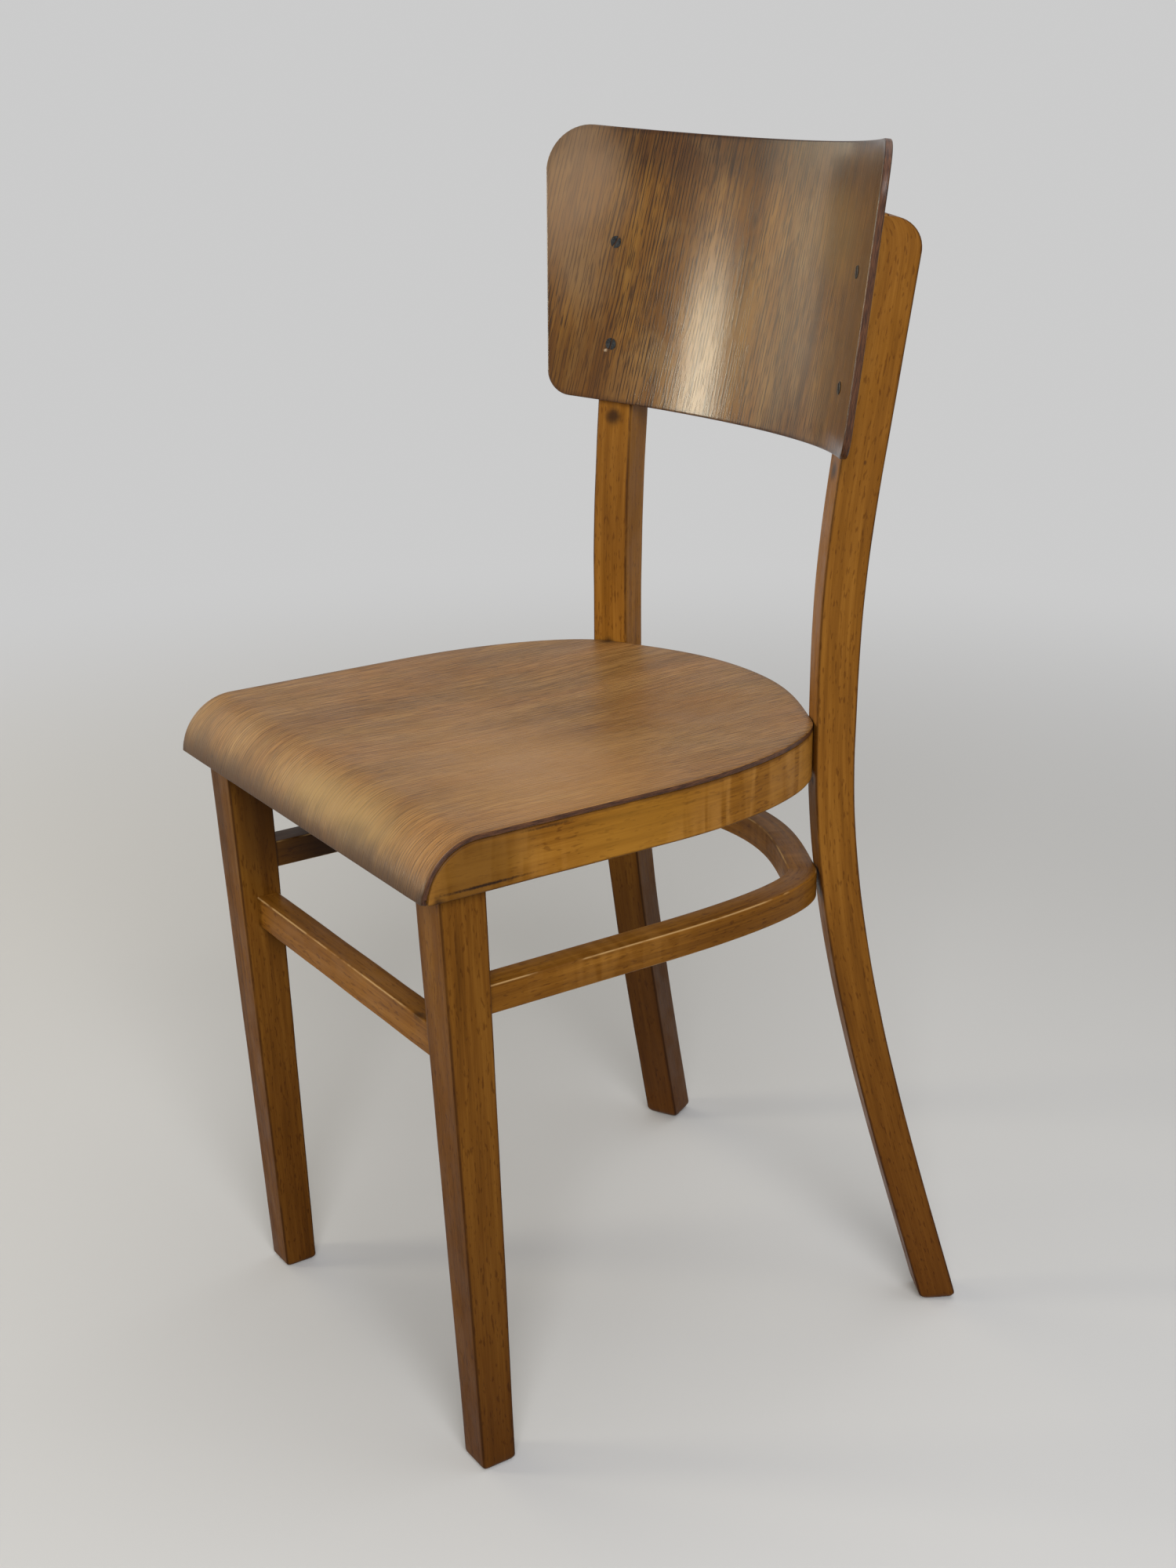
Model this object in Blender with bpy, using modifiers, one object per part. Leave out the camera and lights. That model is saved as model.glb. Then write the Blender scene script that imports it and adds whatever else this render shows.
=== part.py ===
"""Bentwood side chair with a moulded plywood seat and a curved plywood back, one object for each separate piece.

Metres, +Z up, the front of the chair toward -Y, the feet standing on z = 0 and the chair symmetric about x = 0.
"""

import math

import bmesh
import bpy
from mathutils import Matrix, Vector
from mathutils.geometry import interpolate_bezier

MM = 0.001

# Fit between pieces that touch, and the roundings of the timber
CLEARANCE = 0.3 * MM
ARRIS = 1.6 * MM
RAIL_ARRIS = 1.5 * MM

# Rear posts: one bent piece each, flat face turned inward by POST_TURN
POST_X = 123.1 * MM
POST_Y = 112.65 * MM
POST_TURN = math.radians(28.0)
POST_WIDTH = 28.2 * MM
POST_DEPTH = 27.2 * MM
POST_TOP_DEPTH = 31.6 * MM
POST_HEIGHT = 797.0 * MM
POST_FOOT_SPLAY = 92.0 * MM
POST_BACK_LEAN = math.radians(7.4)
POST_LEAN_START = 640.0 * MM
POST_LEAN_OFFSET = 10.8 * MM
POST_TOP_RADIUS = 23.0 * MM

# Seat: moulded ply over a bent rim, its front rolled down
SEAT_HEIGHT = 462.0 * MM
SEAT_HALF_WIDTH = 174.5 * MM
SEAT_DEPTH = 375.4 * MM
SEAT_BACK_BULGE = 39.1 * MM
SEAT_PLY = 4.0 * MM
ROLL_RADIUS = 40.0 * MM
RIM_HEIGHT = 34.0 * MM
RIM_WIDTH = 38.0 * MM
FRONT_RAIL_DEPTH = 32.0 * MM
PLY_LIP = 1.0 * MM

# Front legs: square and tapering, raked a little back toward the floor
LEG_SIDE_INSET = 7.8 * MM
LEG_FRONT_INSET = 16.0 * MM
LEG_TOP_WIDTH = 31.2 * MM
LEG_TOP_DEPTH = 32.8 * MM
LEG_FOOT_WIDTH = 24.8 * MM
LEG_FOOT_DEPTH = 25.0 * MM
LEG_FOOT_IN = 5.3 * MM
LEG_FOOT_BACK = 20.0 * MM
LEG_TENON_DIAMETER = 18.0 * MM
LEG_TENON_LENGTH = 20.0 * MM

# Bent hoop stretcher and straight front stretcher
HOOP_TOP = 353.8 * MM
HOOP_SECTION = 20.0 * MM
HOOP_HALF_WIDTH = 159.5 * MM
HOOP_BACK_BULGE = 46.3 * MM
HOOP_TENON_DIAMETER = 12.0 * MM
HOOP_TENON_LENGTH = 14.0 * MM
STRETCHER_TOP = 316.1 * MM
STRETCHER_HEIGHT = 22.8 * MM
STRETCHER_THICKNESS = 17.0 * MM
STRETCHER_SETBACK = 10.8 * MM
STRETCHER_TENON_LENGTH = 12.0 * MM
STRETCHER_SHOULDER = 3.5 * MM

# Back panel: bent ply screwed to the inner faces of the posts
PANEL_PLY = 5.0 * MM
PANEL_BOTTOM = 641.0 * MM
PANEL_TOP = 835.0 * MM
PANEL_BOTTOM_HALF = 187.0 * MM
PANEL_TOP_HALF = 204.0 * MM
PANEL_TOP_RADIUS = 34.0 * MM
PANEL_BOTTOM_RADIUS = 19.0 * MM
PANEL_EDGE = 0.8 * MM

# Slotted countersunk screws
BACK_SCREW_HEAD = 8.6 * MM
BACK_SCREW_SHANK = 4.0 * MM
BACK_SCREW_LENGTH = 28.0 * MM
BACK_SCREW_HEIGHTS = (687.6 * MM, 760.5 * MM)
BACK_SCREW_OUT = 2.5 * MM
BACK_SCREW_TWIST = math.radians(6.0)
FRAME_SCREW_HEAD = 9.5 * MM
FRAME_SCREW_SHANK = 5.0 * MM
FRAME_SCREW_BITE = 14.0 * MM
FRAME_SCREW_SINK = 0.6 * MM
FRAME_SCREW_TWIST = math.radians(35.0)
SCREW_LIP = 0.5 * MM
SLOT_WIDTH = 1.3 * MM
SLOT_DEPTH = 0.9 * MM

# How far a cutter runs past the surface that it opens, and a joined peg into its piece
PAST = 20.0 * MM
MOUTH = 2.4 * MM
ROOT = 6.0 * MM

# Values that follow from the sizes above
OUTWARD = Vector((math.sin(POST_TURN), math.cos(POST_TURN), 0.0))
ACROSS = Vector((math.cos(POST_TURN), -math.sin(POST_TURN), 0.0))
POST_BASE = Vector((POST_X, POST_Y, 0.0))
RIM_TOP = SEAT_HEIGHT - SEAT_PLY - CLEARANCE
RIM_BOTTOM = RIM_TOP - RIM_HEIGHT
RIM_MIDDLE = (RIM_TOP + RIM_BOTTOM) / 2
SEAT_BACK = POST_Y + SEAT_BACK_BULGE
SEAT_FRONT = SEAT_BACK - SEAT_DEPTH
LEG_TOP = RIM_BOTTOM - CLEARANCE
LEG_TOP_OUTER = SEAT_HALF_WIDTH - LEG_SIDE_INSET
LEG_TOP_FRONT = SEAT_FRONT + LEG_FRONT_INSET
HOOP_MIDDLE = HOOP_TOP - HOOP_SECTION / 2
STRETCHER_MIDDLE = STRETCHER_TOP - STRETCHER_HEIGHT / 2
SIDES = ((1.0, "right"), (-1.0, "left"))

# Plan of a U-shaped piece: the share of the seat's depth that bends, and how hard each handle pulls
BEND_SHARE = 0.5236
SIDE_PULL = 0.55
TURN_PULL = 0.17
BACK_PULL = 0.40

# Side view of a post: how much steeper its foot is than the mean splay, and how hard each handle pulls
FOOT_STEEPNESS = 1.395
FOOT_PULL = 0.34
KNEE_PULL = 0.32
LEAN_PULL = 0.42

WOODS = {
    "seat_ply": ((0.36, 0.155, 0.050), 0.34),
    "panel_ply": ((0.235, 0.105, 0.035), 0.36),
    "rim_beech": ((0.46, 0.205, 0.062), 0.36),
    "rail_beech": ((0.40, 0.18, 0.06), 0.45),
    "leg_beech": ((0.37, 0.155, 0.042), 0.36),
    "post_beech": ((0.35, 0.150, 0.042), 0.36),
    "hoop_beech": ((0.26, 0.130, 0.066), 0.46),
    "stretcher_beech": ((0.33, 0.145, 0.045), 0.42),
}
STEEL = ((0.085, 0.075, 0.068), 0.55)


def clear_scene():
    """Removes what the start-up scene holds."""
    for old in list(bpy.data.objects):
        bpy.data.objects.remove(old, do_unlink=True)
    for old in list(bpy.data.collections):
        bpy.data.collections.remove(old)


def make_collection(name, hidden=False):
    group = bpy.data.collections.new(name)
    bpy.context.scene.collection.children.link(group)
    group.hide_render = hidden
    return group


def make_material(name, colour, roughness, metallic=0.0):
    material = bpy.data.materials.new(name)
    material.use_nodes = True
    shader = material.node_tree.nodes["Principled BSDF"]
    shader.inputs["Base Color"].default_value = (*colour, 1.0)
    shader.inputs["Roughness"].default_value = roughness
    shader.inputs["Metallic"].default_value = metallic
    material.diffuse_color = (*colour, 1.0)
    return material


def wood(name):
    colour, roughness = WOODS[name]
    return make_material(name, colour, roughness)


def add_object(name, mesh, material=None, smooth=True):
    """Puts a mesh in the chair's own collection."""
    made = bpy.data.objects.new(name, mesh)
    PARTS.objects.link(made)
    if material is not None:
        mesh.materials.clear()
        mesh.materials.append(material)
    if smooth:
        mesh.polygons.foreach_set("use_smooth", [True] * len(mesh.polygons))
        mesh.set_sharp_from_angle(angle=math.radians(35.0))
    return made


def add_cutter(name, mesh):
    made = bpy.data.objects.new(name, mesh)
    CUTTERS.objects.link(made)
    made.hide_render = True
    made.display_type = "WIRE"
    return made


def cut(target, tool, operation="DIFFERENCE"):
    modifier = target.modifiers.new(tool.name, "BOOLEAN")
    modifier.operation = operation
    modifier.solver = "EXACT"
    modifier.object = tool


def round_edges(target, width, segments=2, angle=50.0):
    modifier = target.modifiers.new("arris", "BEVEL")
    modifier.width = width
    modifier.segments = segments
    modifier.limit_method = "ANGLE"
    modifier.angle_limit = math.radians(angle)
    modifier.use_clamp_overlap = True
    modifier.harden_normals = False


def tidy(mesh, dissolve=True):
    """Joins doubled points, makes the flat caps whole and turns the faces outward."""
    work = bmesh.new()
    work.from_mesh(mesh)
    bmesh.ops.remove_doubles(work, verts=work.verts, dist=0.000002)
    if dissolve:
        bmesh.ops.dissolve_limit(
            work, angle_limit=math.radians(0.05), verts=work.verts, edges=work.edges
        )
    bmesh.ops.recalc_face_normals(work, faces=work.faces)
    work.to_mesh(mesh)
    work.free()
    return mesh


def curve_mesh(curve, name):
    """Makes a plain mesh of a curve and leaves no curve behind."""
    holder = bpy.data.objects.new(name + "_curve", curve)
    PARTS.objects.link(holder)
    bpy.context.view_layer.update()
    graph = bpy.context.evaluated_depsgraph_get()
    mesh = bpy.data.meshes.new_from_object(holder.evaluated_get(graph))
    bpy.data.objects.remove(holder)
    bpy.data.curves.remove(curve)
    mesh.name = name
    return mesh


def plate_mesh(name, outline, thickness):
    """A closed 2D outline, filled and extruded by half its thickness both ways."""
    curve = bpy.data.curves.new(name, "CURVE")
    curve.dimensions = "2D"
    curve.fill_mode = "BOTH"
    curve.extrude = thickness / 2
    spline = curve.splines.new("POLY")
    spline.points.add(len(outline) - 1)
    for point, (x, y) in zip(spline.points, outline):
        point.co = (x, y, 0.0, 1.0)
    spline.use_cyclic_u = True
    return tidy(curve_mesh(curve, name))


def box_mesh(name, low, high):
    mesh = bpy.data.meshes.new(name)
    work = bmesh.new()
    bmesh.ops.create_cube(work, size=1.0)
    middle = (Vector(low) + Vector(high)) / 2
    size = Vector(high) - Vector(low)
    for vertex in work.verts:
        vertex.co = Vector((vertex.co[i] * size[i] + middle[i] for i in range(3)))
    work.to_mesh(mesh)
    work.free()
    return mesh


def peg_mesh(name, start, end, radius, segments=28):
    """A plain round peg between two points."""
    start = Vector(start)
    axis = Vector(end) - start
    mesh = bpy.data.meshes.new(name)
    work = bmesh.new()
    bmesh.ops.create_cone(
        work,
        cap_ends=True,
        segments=segments,
        radius1=radius,
        radius2=radius,
        depth=axis.length,
        matrix=Matrix.Translation(start + axis / 2)
        @ axis.to_track_quat("Z", "Y").to_matrix().to_4x4(),
    )
    work.to_mesh(mesh)
    work.free()
    return mesh


def bezier_run(points, steps):
    """Samples joined Bezier pieces, given as (start, handle, handle, end)."""
    run = []
    for start, first, second, end in points:
        piece = interpolate_bezier(
            Vector((*start, 0.0)),
            Vector((*first, 0.0)),
            Vector((*second, 0.0)),
            Vector((*end, 0.0)),
            steps + 1,
        )
        run.extend((p.x, p.y) for p in (piece if not run else piece[1:]))
    return run


def post_offset_curve():
    """Front face of a post from the foot up, as (offset outward, height) Bezier pieces."""
    knee = RIM_MIDDLE
    lean = math.tan(POST_BACK_LEAN)
    rise = POST_LEAN_START - knee
    foot = (POST_FOOT_SPLAY, 0.0)
    middle = (0.0, knee)
    start = (POST_LEAN_OFFSET, POST_LEAN_START)
    lead = rise * LEAN_PULL
    return (
        (
            foot,
            (POST_FOOT_SPLAY * (1.0 - FOOT_STEEPNESS * FOOT_PULL), knee * FOOT_PULL),
            (0.0, knee * (1.0 - KNEE_PULL)),
            middle,
        ),
        (
            middle,
            (0.0, knee + lead),
            (POST_LEAN_OFFSET - lean * lead, POST_LEAN_START - lead),
            start,
        ),
    )


def post_offset(height):
    """How far the front face of a post stands outward of the place where it meets the seat."""
    if height >= POST_LEAN_START:
        return POST_LEAN_OFFSET + (height - POST_LEAN_START) * math.tan(POST_BACK_LEAN)
    run = bezier_run(post_offset_curve(), 60)
    for (low_s, low_z), (high_s, high_z) in zip(run, run[1:]):
        if low_z <= height <= high_z:
            share = (height - low_z) / (high_z - low_z)
            return low_s + (high_s - low_s) * share
    return run[0][0]


def post_depth(height):
    share = max(0.0, (height - RIM_MIDDLE) / (POST_HEIGHT - RIM_MIDDLE))
    return POST_DEPTH + (POST_TOP_DEPTH - POST_DEPTH) * share


def post_place(side):
    """The matrix that stands a post's flat outline up, turned to its side."""
    outward = Vector((side * OUTWARD.x, OUTWARD.y, 0.0))
    up = Vector((0.0, 0.0, 1.0))
    third = outward.cross(up)
    place = Matrix((outward, up, third)).transposed().to_4x4()
    place.translation = Vector((side * POST_X, POST_Y, 0.0))
    return place


def post_point(side, height, out=0.0, across=0.0):
    """A point given from a post's front face: out along its depth, across its width."""
    offset = post_offset(height) + out
    spot = POST_BASE + OUTWARD * offset + ACROSS * across
    return Vector((side * spot.x, spot.y, height))


def u_half(half_width, height, bulge):
    """Right half of a U in plan, from its straight side round to the middle of the back, touching the post."""
    touch = POST_BASE + OUTWARD * (post_offset(height) - CLEARANCE)
    back = POST_Y + bulge
    side_y = back - (back - SEAT_FRONT) * BEND_SHARE
    reach = touch.y - side_y
    turn = reach * TURN_PULL
    lead = touch.x * BACK_PULL
    return (
        (
            (half_width, side_y),
            (half_width, side_y + reach * SIDE_PULL),
            (touch.x + ACROSS.x * turn, touch.y + ACROSS.y * turn),
            (touch.x, touch.y),
        ),
        (
            (touch.x, touch.y),
            (touch.x - ACROSS.x * lead, touch.y - ACROSS.y * lead),
            (touch.x * BACK_PULL, back),
            (0.0, back),
        ),
    )


def u_path(half_width, height, bulge, front):
    """The whole U in plan, from the front end on the right round to the front end on the left."""
    right = [(half_width, front)]
    right.extend(bezier_run(u_half(half_width, height, bulge), 14))
    return right + [(-x, y) for x, y in reversed(right[:-1])]


def sweep_mesh(name, path, height, section):
    """Carries a section along a level path. The section's x runs inward from the path and its y runs up."""
    rail = bpy.data.curves.new(name + "_section", "CURVE")
    rail.dimensions = "2D"
    ring = rail.splines.new("POLY")
    ring.points.add(len(section) - 1)
    for point, (x, y) in zip(ring.points, section):
        point.co = (-x, y, 0.0, 1.0)
    ring.use_cyclic_u = True
    holder = bpy.data.objects.new(name + "_section", rail)
    PARTS.objects.link(holder)
    curve = bpy.data.curves.new(name, "CURVE")
    curve.dimensions = "3D"
    curve.twist_mode = "Z_UP"
    curve.bevel_mode = "OBJECT"
    curve.bevel_object = holder
    curve.use_fill_caps = True
    spline = curve.splines.new("POLY")
    spline.points.add(len(path) - 1)
    for point, (x, y) in zip(spline.points, path):
        point.co = (x, y, height, 1.0)
    mesh = curve_mesh(curve, name)
    bpy.data.objects.remove(holder)
    bpy.data.curves.remove(rail)
    return tidy(mesh)


def soft_section(width, height, radius, steps=3):
    """A rounded oblong from x = 0 to x = width and half its height up and down."""
    section = []
    corners = (
        (width - radius, height / 2 - radius, 0.0),
        (radius, height / 2 - radius, 90.0),
        (radius, radius - height / 2, 180.0),
        (width - radius, radius - height / 2, 270.0),
    )
    for x, y, start in corners:
        for step in range(steps + 1):
            angle = math.radians(start + 90.0 * step / steps)
            section.append((x + radius * math.cos(angle), y + radius * math.sin(angle)))
    return section


def roll_profile(gap, low):
    """The seat's surface from the back to the lower front, as (y, z), set in by the gap."""
    radius = ROLL_RADIUS - gap
    centre_y = SEAT_FRONT + ROLL_RADIUS
    centre_z = SEAT_HEIGHT - ROLL_RADIUS
    profile = [(SEAT_BACK + PAST, SEAT_HEIGHT - gap)]
    steps = 14
    for step in range(steps + 1):
        angle = math.radians(90.0 + 90.0 * step / steps)
        y = centre_y + radius * math.cos(angle)
        z = centre_z + radius * math.sin(angle)
        if z > low + 0.1 * MM:
            profile.append((y, z))
    if centre_z < low:
        rise = math.sqrt(radius**2 - (low - centre_z) ** 2)
        profile.append((centre_y - rise, low))
    else:
        profile.append((centre_y - radius, low))
    return profile


def across_mesh(name, profile, half_width):
    """An outline given as (y, z), extruded across the chair."""
    mesh = plate_mesh(name, profile, half_width * 2)
    turn = Matrix(((0.0, 0.0, 1.0), (1.0, 0.0, 0.0), (0.0, 1.0, 0.0))).to_4x4()
    mesh.transform(turn)
    return mesh


def screw_mesh(name, head, shank, length, extra=0.0, mouth=0.0):
    """A countersunk screw along -Z with its flat head at z = 0, turned from half a profile."""
    head_radius = head / 2 + extra
    shank_radius = shank / 2 + extra
    lip = SCREW_LIP + extra
    depth = head_radius - shank_radius + lip
    tip = length + extra
    outline = (
        (0.0, mouth),
        (head_radius, mouth),
        (head_radius, -lip),
        (shank_radius, -depth),
        (shank_radius, -(tip - shank)),
        (0.0, -tip),
    )
    mesh = bpy.data.meshes.new(name)
    mesh.from_pydata(
        [(x, 0.0, z) for x, z in outline],
        [(i, i + 1) for i in range(len(outline) - 1)],
        [],
    )
    return mesh


def turn_round(target, steps=24):
    modifier = target.modifiers.new("turned", "SCREW")
    modifier.axis = "Z"
    modifier.steps = steps
    modifier.render_steps = steps
    modifier.use_merge_vertices = True
    modifier.merge_threshold = 0.00001
    modifier.use_normal_calculate = True
    modifier.use_smooth_shade = True


def aim(spot, direction, twist=0.0):
    """Places a screw: its head's face at the spot, looking along the direction, its slot turned by the twist."""
    direction = Vector(direction).normalized()
    side = Vector((0.0, 0.0, 1.0)).cross(direction).normalized()
    up = direction.cross(side)
    place = Matrix((side, up, direction)).transposed().to_4x4()
    place = place @ Matrix.Rotation(twist, 4, "Z")
    place.translation = Vector(spot)
    return place


def add_screw(name, spot, direction, sizes, twist, held_by):
    """A slotted screw and the hole for it in each piece that it passes through."""
    head, shank, length = sizes
    place = aim(spot, direction, twist)
    screw = add_object(name, screw_mesh(name, head, shank, length), STEEL_MATERIAL, smooth=False)
    turn_round(screw)
    screw.matrix_world = place
    slot = add_cutter(
        name + "_slot",
        box_mesh(
            name + "_slot",
            (-SLOT_WIDTH / 2, -head, -SLOT_DEPTH),
            (SLOT_WIDTH / 2, head, SLOT_DEPTH * 2),
        ),
    )
    slot.matrix_world = place
    cut(screw, slot)
    hole = add_cutter(
        name + "_hole",
        screw_mesh(name + "_hole", head, shank, length, CLEARANCE, MOUTH),
    )
    turn_round(hole)
    hole.matrix_world = place
    for piece in held_by:
        cut(piece, hole)
    return screw


def make_seat():
    """The moulded ply, the bent rim under it and the straight rail inside the front roll."""
    reach = SEAT_HALF_WIDTH + PAST
    outline = u_path(SEAT_HALF_WIDTH, RIM_MIDDLE, SEAT_BACK_BULGE, SEAT_FRONT - PAST)
    low = RIM_BOTTOM + PLY_LIP
    outer = roll_profile(0.0, low)
    inner = roll_profile(SEAT_PLY, low)
    sheet = across_mesh("seat_panel", outer + inner[::-1], reach)
    panel = add_object("seat_panel", sheet, wood("seat_ply"))
    prism = plate_mesh("seat_outline", outline, SEAT_HEIGHT)
    prism.transform(Matrix.Translation((0.0, 0.0, SEAT_HEIGHT)))
    cut(panel, add_cutter("seat_outline", prism), "INTERSECT")

    below = RIM_BOTTOM - MOUTH
    under = roll_profile(SEAT_PLY + CLEARANCE, below)
    under.append((SEAT_BACK + PAST, below))
    form = add_cutter("rim_form", across_mesh("rim_form", under, reach))
    rim_path = u_path(SEAT_HALF_WIDTH, RIM_MIDDLE, SEAT_BACK_BULGE, SEAT_FRONT)
    rim_section = soft_section(RIM_WIDTH, RIM_HEIGHT, RAIL_ARRIS)
    rim = add_object(
        "seat_rim",
        sweep_mesh("seat_rim", rim_path, RIM_MIDDLE, rim_section),
        wood("rim_beech"),
    )
    cut(rim, form, "INTERSECT")

    half = SEAT_HALF_WIDTH - RIM_WIDTH - CLEARANCE
    rail = add_object(
        "front_rail",
        box_mesh(
            "front_rail",
            (-half, SEAT_FRONT, RIM_BOTTOM),
            (half, SEAT_FRONT + SEAT_PLY + CLEARANCE + FRONT_RAIL_DEPTH, RIM_TOP),
        ),
        wood("rail_beech"),
    )
    cut(rail, form, "INTERSECT")
    return panel, rim, rail


def leg_section(height):
    """(inner x, outer x, front y, back y) of the right front leg at a height."""
    share = height / LEG_TOP
    outer = LEG_TOP_OUTER - LEG_FOOT_IN * (1.0 - share)
    front = LEG_TOP_FRONT + LEG_FOOT_BACK * (1.0 - share)
    width = LEG_FOOT_WIDTH + (LEG_TOP_WIDTH - LEG_FOOT_WIDTH) * share
    depth = LEG_FOOT_DEPTH + (LEG_TOP_DEPTH - LEG_FOOT_DEPTH) * share
    return outer - width, outer, front, front + depth


def make_leg(side, name, material):
    """A tapering leg with a round tenon at its top."""
    mesh = box_mesh(name, (-0.5, -0.5, 0.0), (0.5, 0.5, LEG_TOP))
    for vertex in mesh.vertices:
        inner, outer, front, back = leg_section(vertex.co.z)
        x = outer if vertex.co.x > 0 else inner
        vertex.co.x = x
        vertex.co.y = back if vertex.co.y > 0 else front
    if side < 0:
        mesh.transform(Matrix.Scale(-1.0, 4, Vector((1.0, 0.0, 0.0))))
        mesh.flip_normals()
    leg = add_object(name, mesh, material)
    round_edges(leg, ARRIS, 3)
    inner, outer, front, back = leg_section(LEG_TOP)
    spot = Vector((side * (inner + outer) / 2, (front + back) / 2, LEG_TOP))
    peg = add_cutter(
        name + "_tenon",
        peg_mesh(
            name + "_tenon",
            spot - Vector((0.0, 0.0, ROOT)),
            spot + Vector((0.0, 0.0, LEG_TENON_LENGTH)),
            LEG_TENON_DIAMETER / 2,
        ),
    )
    cut(leg, peg, "UNION")
    return leg, spot


def bore(name, piece, start, end, diameter):
    """A round hole with the clearance all round and at its end."""
    start = Vector(start)
    end = Vector(end)
    along = (end - start).normalized()
    tool = add_cutter(
        name,
        peg_mesh(
            name, start - along * MOUTH, end + along * CLEARANCE, diameter / 2 + CLEARANCE
        ),
    )
    cut(piece, tool)


def make_hoop():
    """The bent stretcher, its ends reduced to round tenons for the front legs."""
    inner, outer, front, back = leg_section(HOOP_MIDDLE)
    end = leg_section(HOOP_TOP)[3] + CLEARANCE
    end = max(end, leg_section(HOOP_TOP - HOOP_SECTION)[3] + CLEARANCE)
    path = u_path(HOOP_HALF_WIDTH, HOOP_TOP, HOOP_BACK_BULGE, end)
    section = soft_section(HOOP_SECTION, HOOP_SECTION, ARRIS)
    hoop = add_object(
        "hoop_stretcher",
        sweep_mesh("hoop_stretcher", path, HOOP_MIDDLE, section),
        wood("hoop_beech"),
    )
    tenons = []
    for side, word in SIDES:
        x = side * (HOOP_HALF_WIDTH - HOOP_SECTION / 2)
        root = Vector((x, end, HOOP_MIDDLE))
        tip = Vector((x, back - HOOP_TENON_LENGTH, HOOP_MIDDLE))
        name = "hoop_tenon_" + word
        peg = peg_mesh(name, root + Vector((0.0, ROOT, 0.0)), tip, HOOP_TENON_DIAMETER / 2)
        cut(hoop, add_cutter(name, peg), "UNION")
        tenons.append((root, tip))
    return hoop, tenons


def make_stretcher():
    """The straight front stretcher with a shouldered tenon at each end."""
    inner, outer, front, back = leg_section(STRETCHER_MIDDLE)
    low_inner = leg_section(STRETCHER_TOP - STRETCHER_HEIGHT)[0]
    half = min(low_inner, leg_section(STRETCHER_TOP)[0]) - CLEARANCE
    face = front + STRETCHER_SETBACK
    body = box_mesh(
        "front_stretcher",
        (-half, face, STRETCHER_TOP - STRETCHER_HEIGHT),
        (half, face + STRETCHER_THICKNESS, STRETCHER_TOP),
    )
    stretcher = add_object("front_stretcher", body, wood("stretcher_beech"))
    round_edges(stretcher, RAIL_ARRIS, 2)
    reach = inner + STRETCHER_TENON_LENGTH
    low = (
        face + STRETCHER_SHOULDER,
        STRETCHER_TOP - STRETCHER_HEIGHT + STRETCHER_SHOULDER,
    )
    high = (face + STRETCHER_THICKNESS - STRETCHER_SHOULDER, STRETCHER_TOP - STRETCHER_SHOULDER)
    tongue = add_cutter(
        "stretcher_tenons",
        box_mesh("stretcher_tenons", (-reach, low[0], low[1]), (reach, high[0], high[1])),
    )
    cut(stretcher, tongue, "UNION")
    gap = CLEARANCE
    mortise = add_cutter(
        "stretcher_mortises",
        box_mesh(
            "stretcher_mortises",
            (-reach - gap, low[0] - gap, low[1] - gap),
            (reach + gap, high[0] + gap, high[1] + gap),
        ),
    )
    return stretcher, mortise


def make_post(side, name, material):
    """A bent post with a rounded top, its outline extruded to its width."""
    front = bezier_run(post_offset_curve(), 12)
    front.append((post_offset(POST_HEIGHT), POST_HEIGHT))
    back = [(s + post_depth(z), z) for s, z in front[:-1]]
    lean = math.tan(POST_BACK_LEAN)
    low = POST_HEIGHT - POST_TOP_RADIUS
    top = [(post_offset(low) + post_depth(low), low)]
    centre = (top[0][0] - POST_TOP_RADIUS, low)
    for step in range(1, 9):
        angle = math.radians(90.0 * step / 8)
        x = centre[0] + POST_TOP_RADIUS * math.cos(angle)
        z = low + POST_TOP_RADIUS * math.sin(angle)
        top.append((x + lean * (z - low) * 0.5, z))
    outline = front + list(reversed(back + top))
    mesh = plate_mesh(name, outline, POST_WIDTH)
    post = add_object(name, mesh, material)
    post.matrix_world = post_place(side)
    round_edges(post, ARRIS, 3)
    return post


def corner_arc(centre, radius, start, steps):
    arc = []
    for step in range(steps + 1):
        angle = math.radians(start + 90.0 * step / steps)
        arc.append((centre[0] + radius * math.cos(angle), centre[1] + radius * math.sin(angle)))
    return arc


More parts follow.
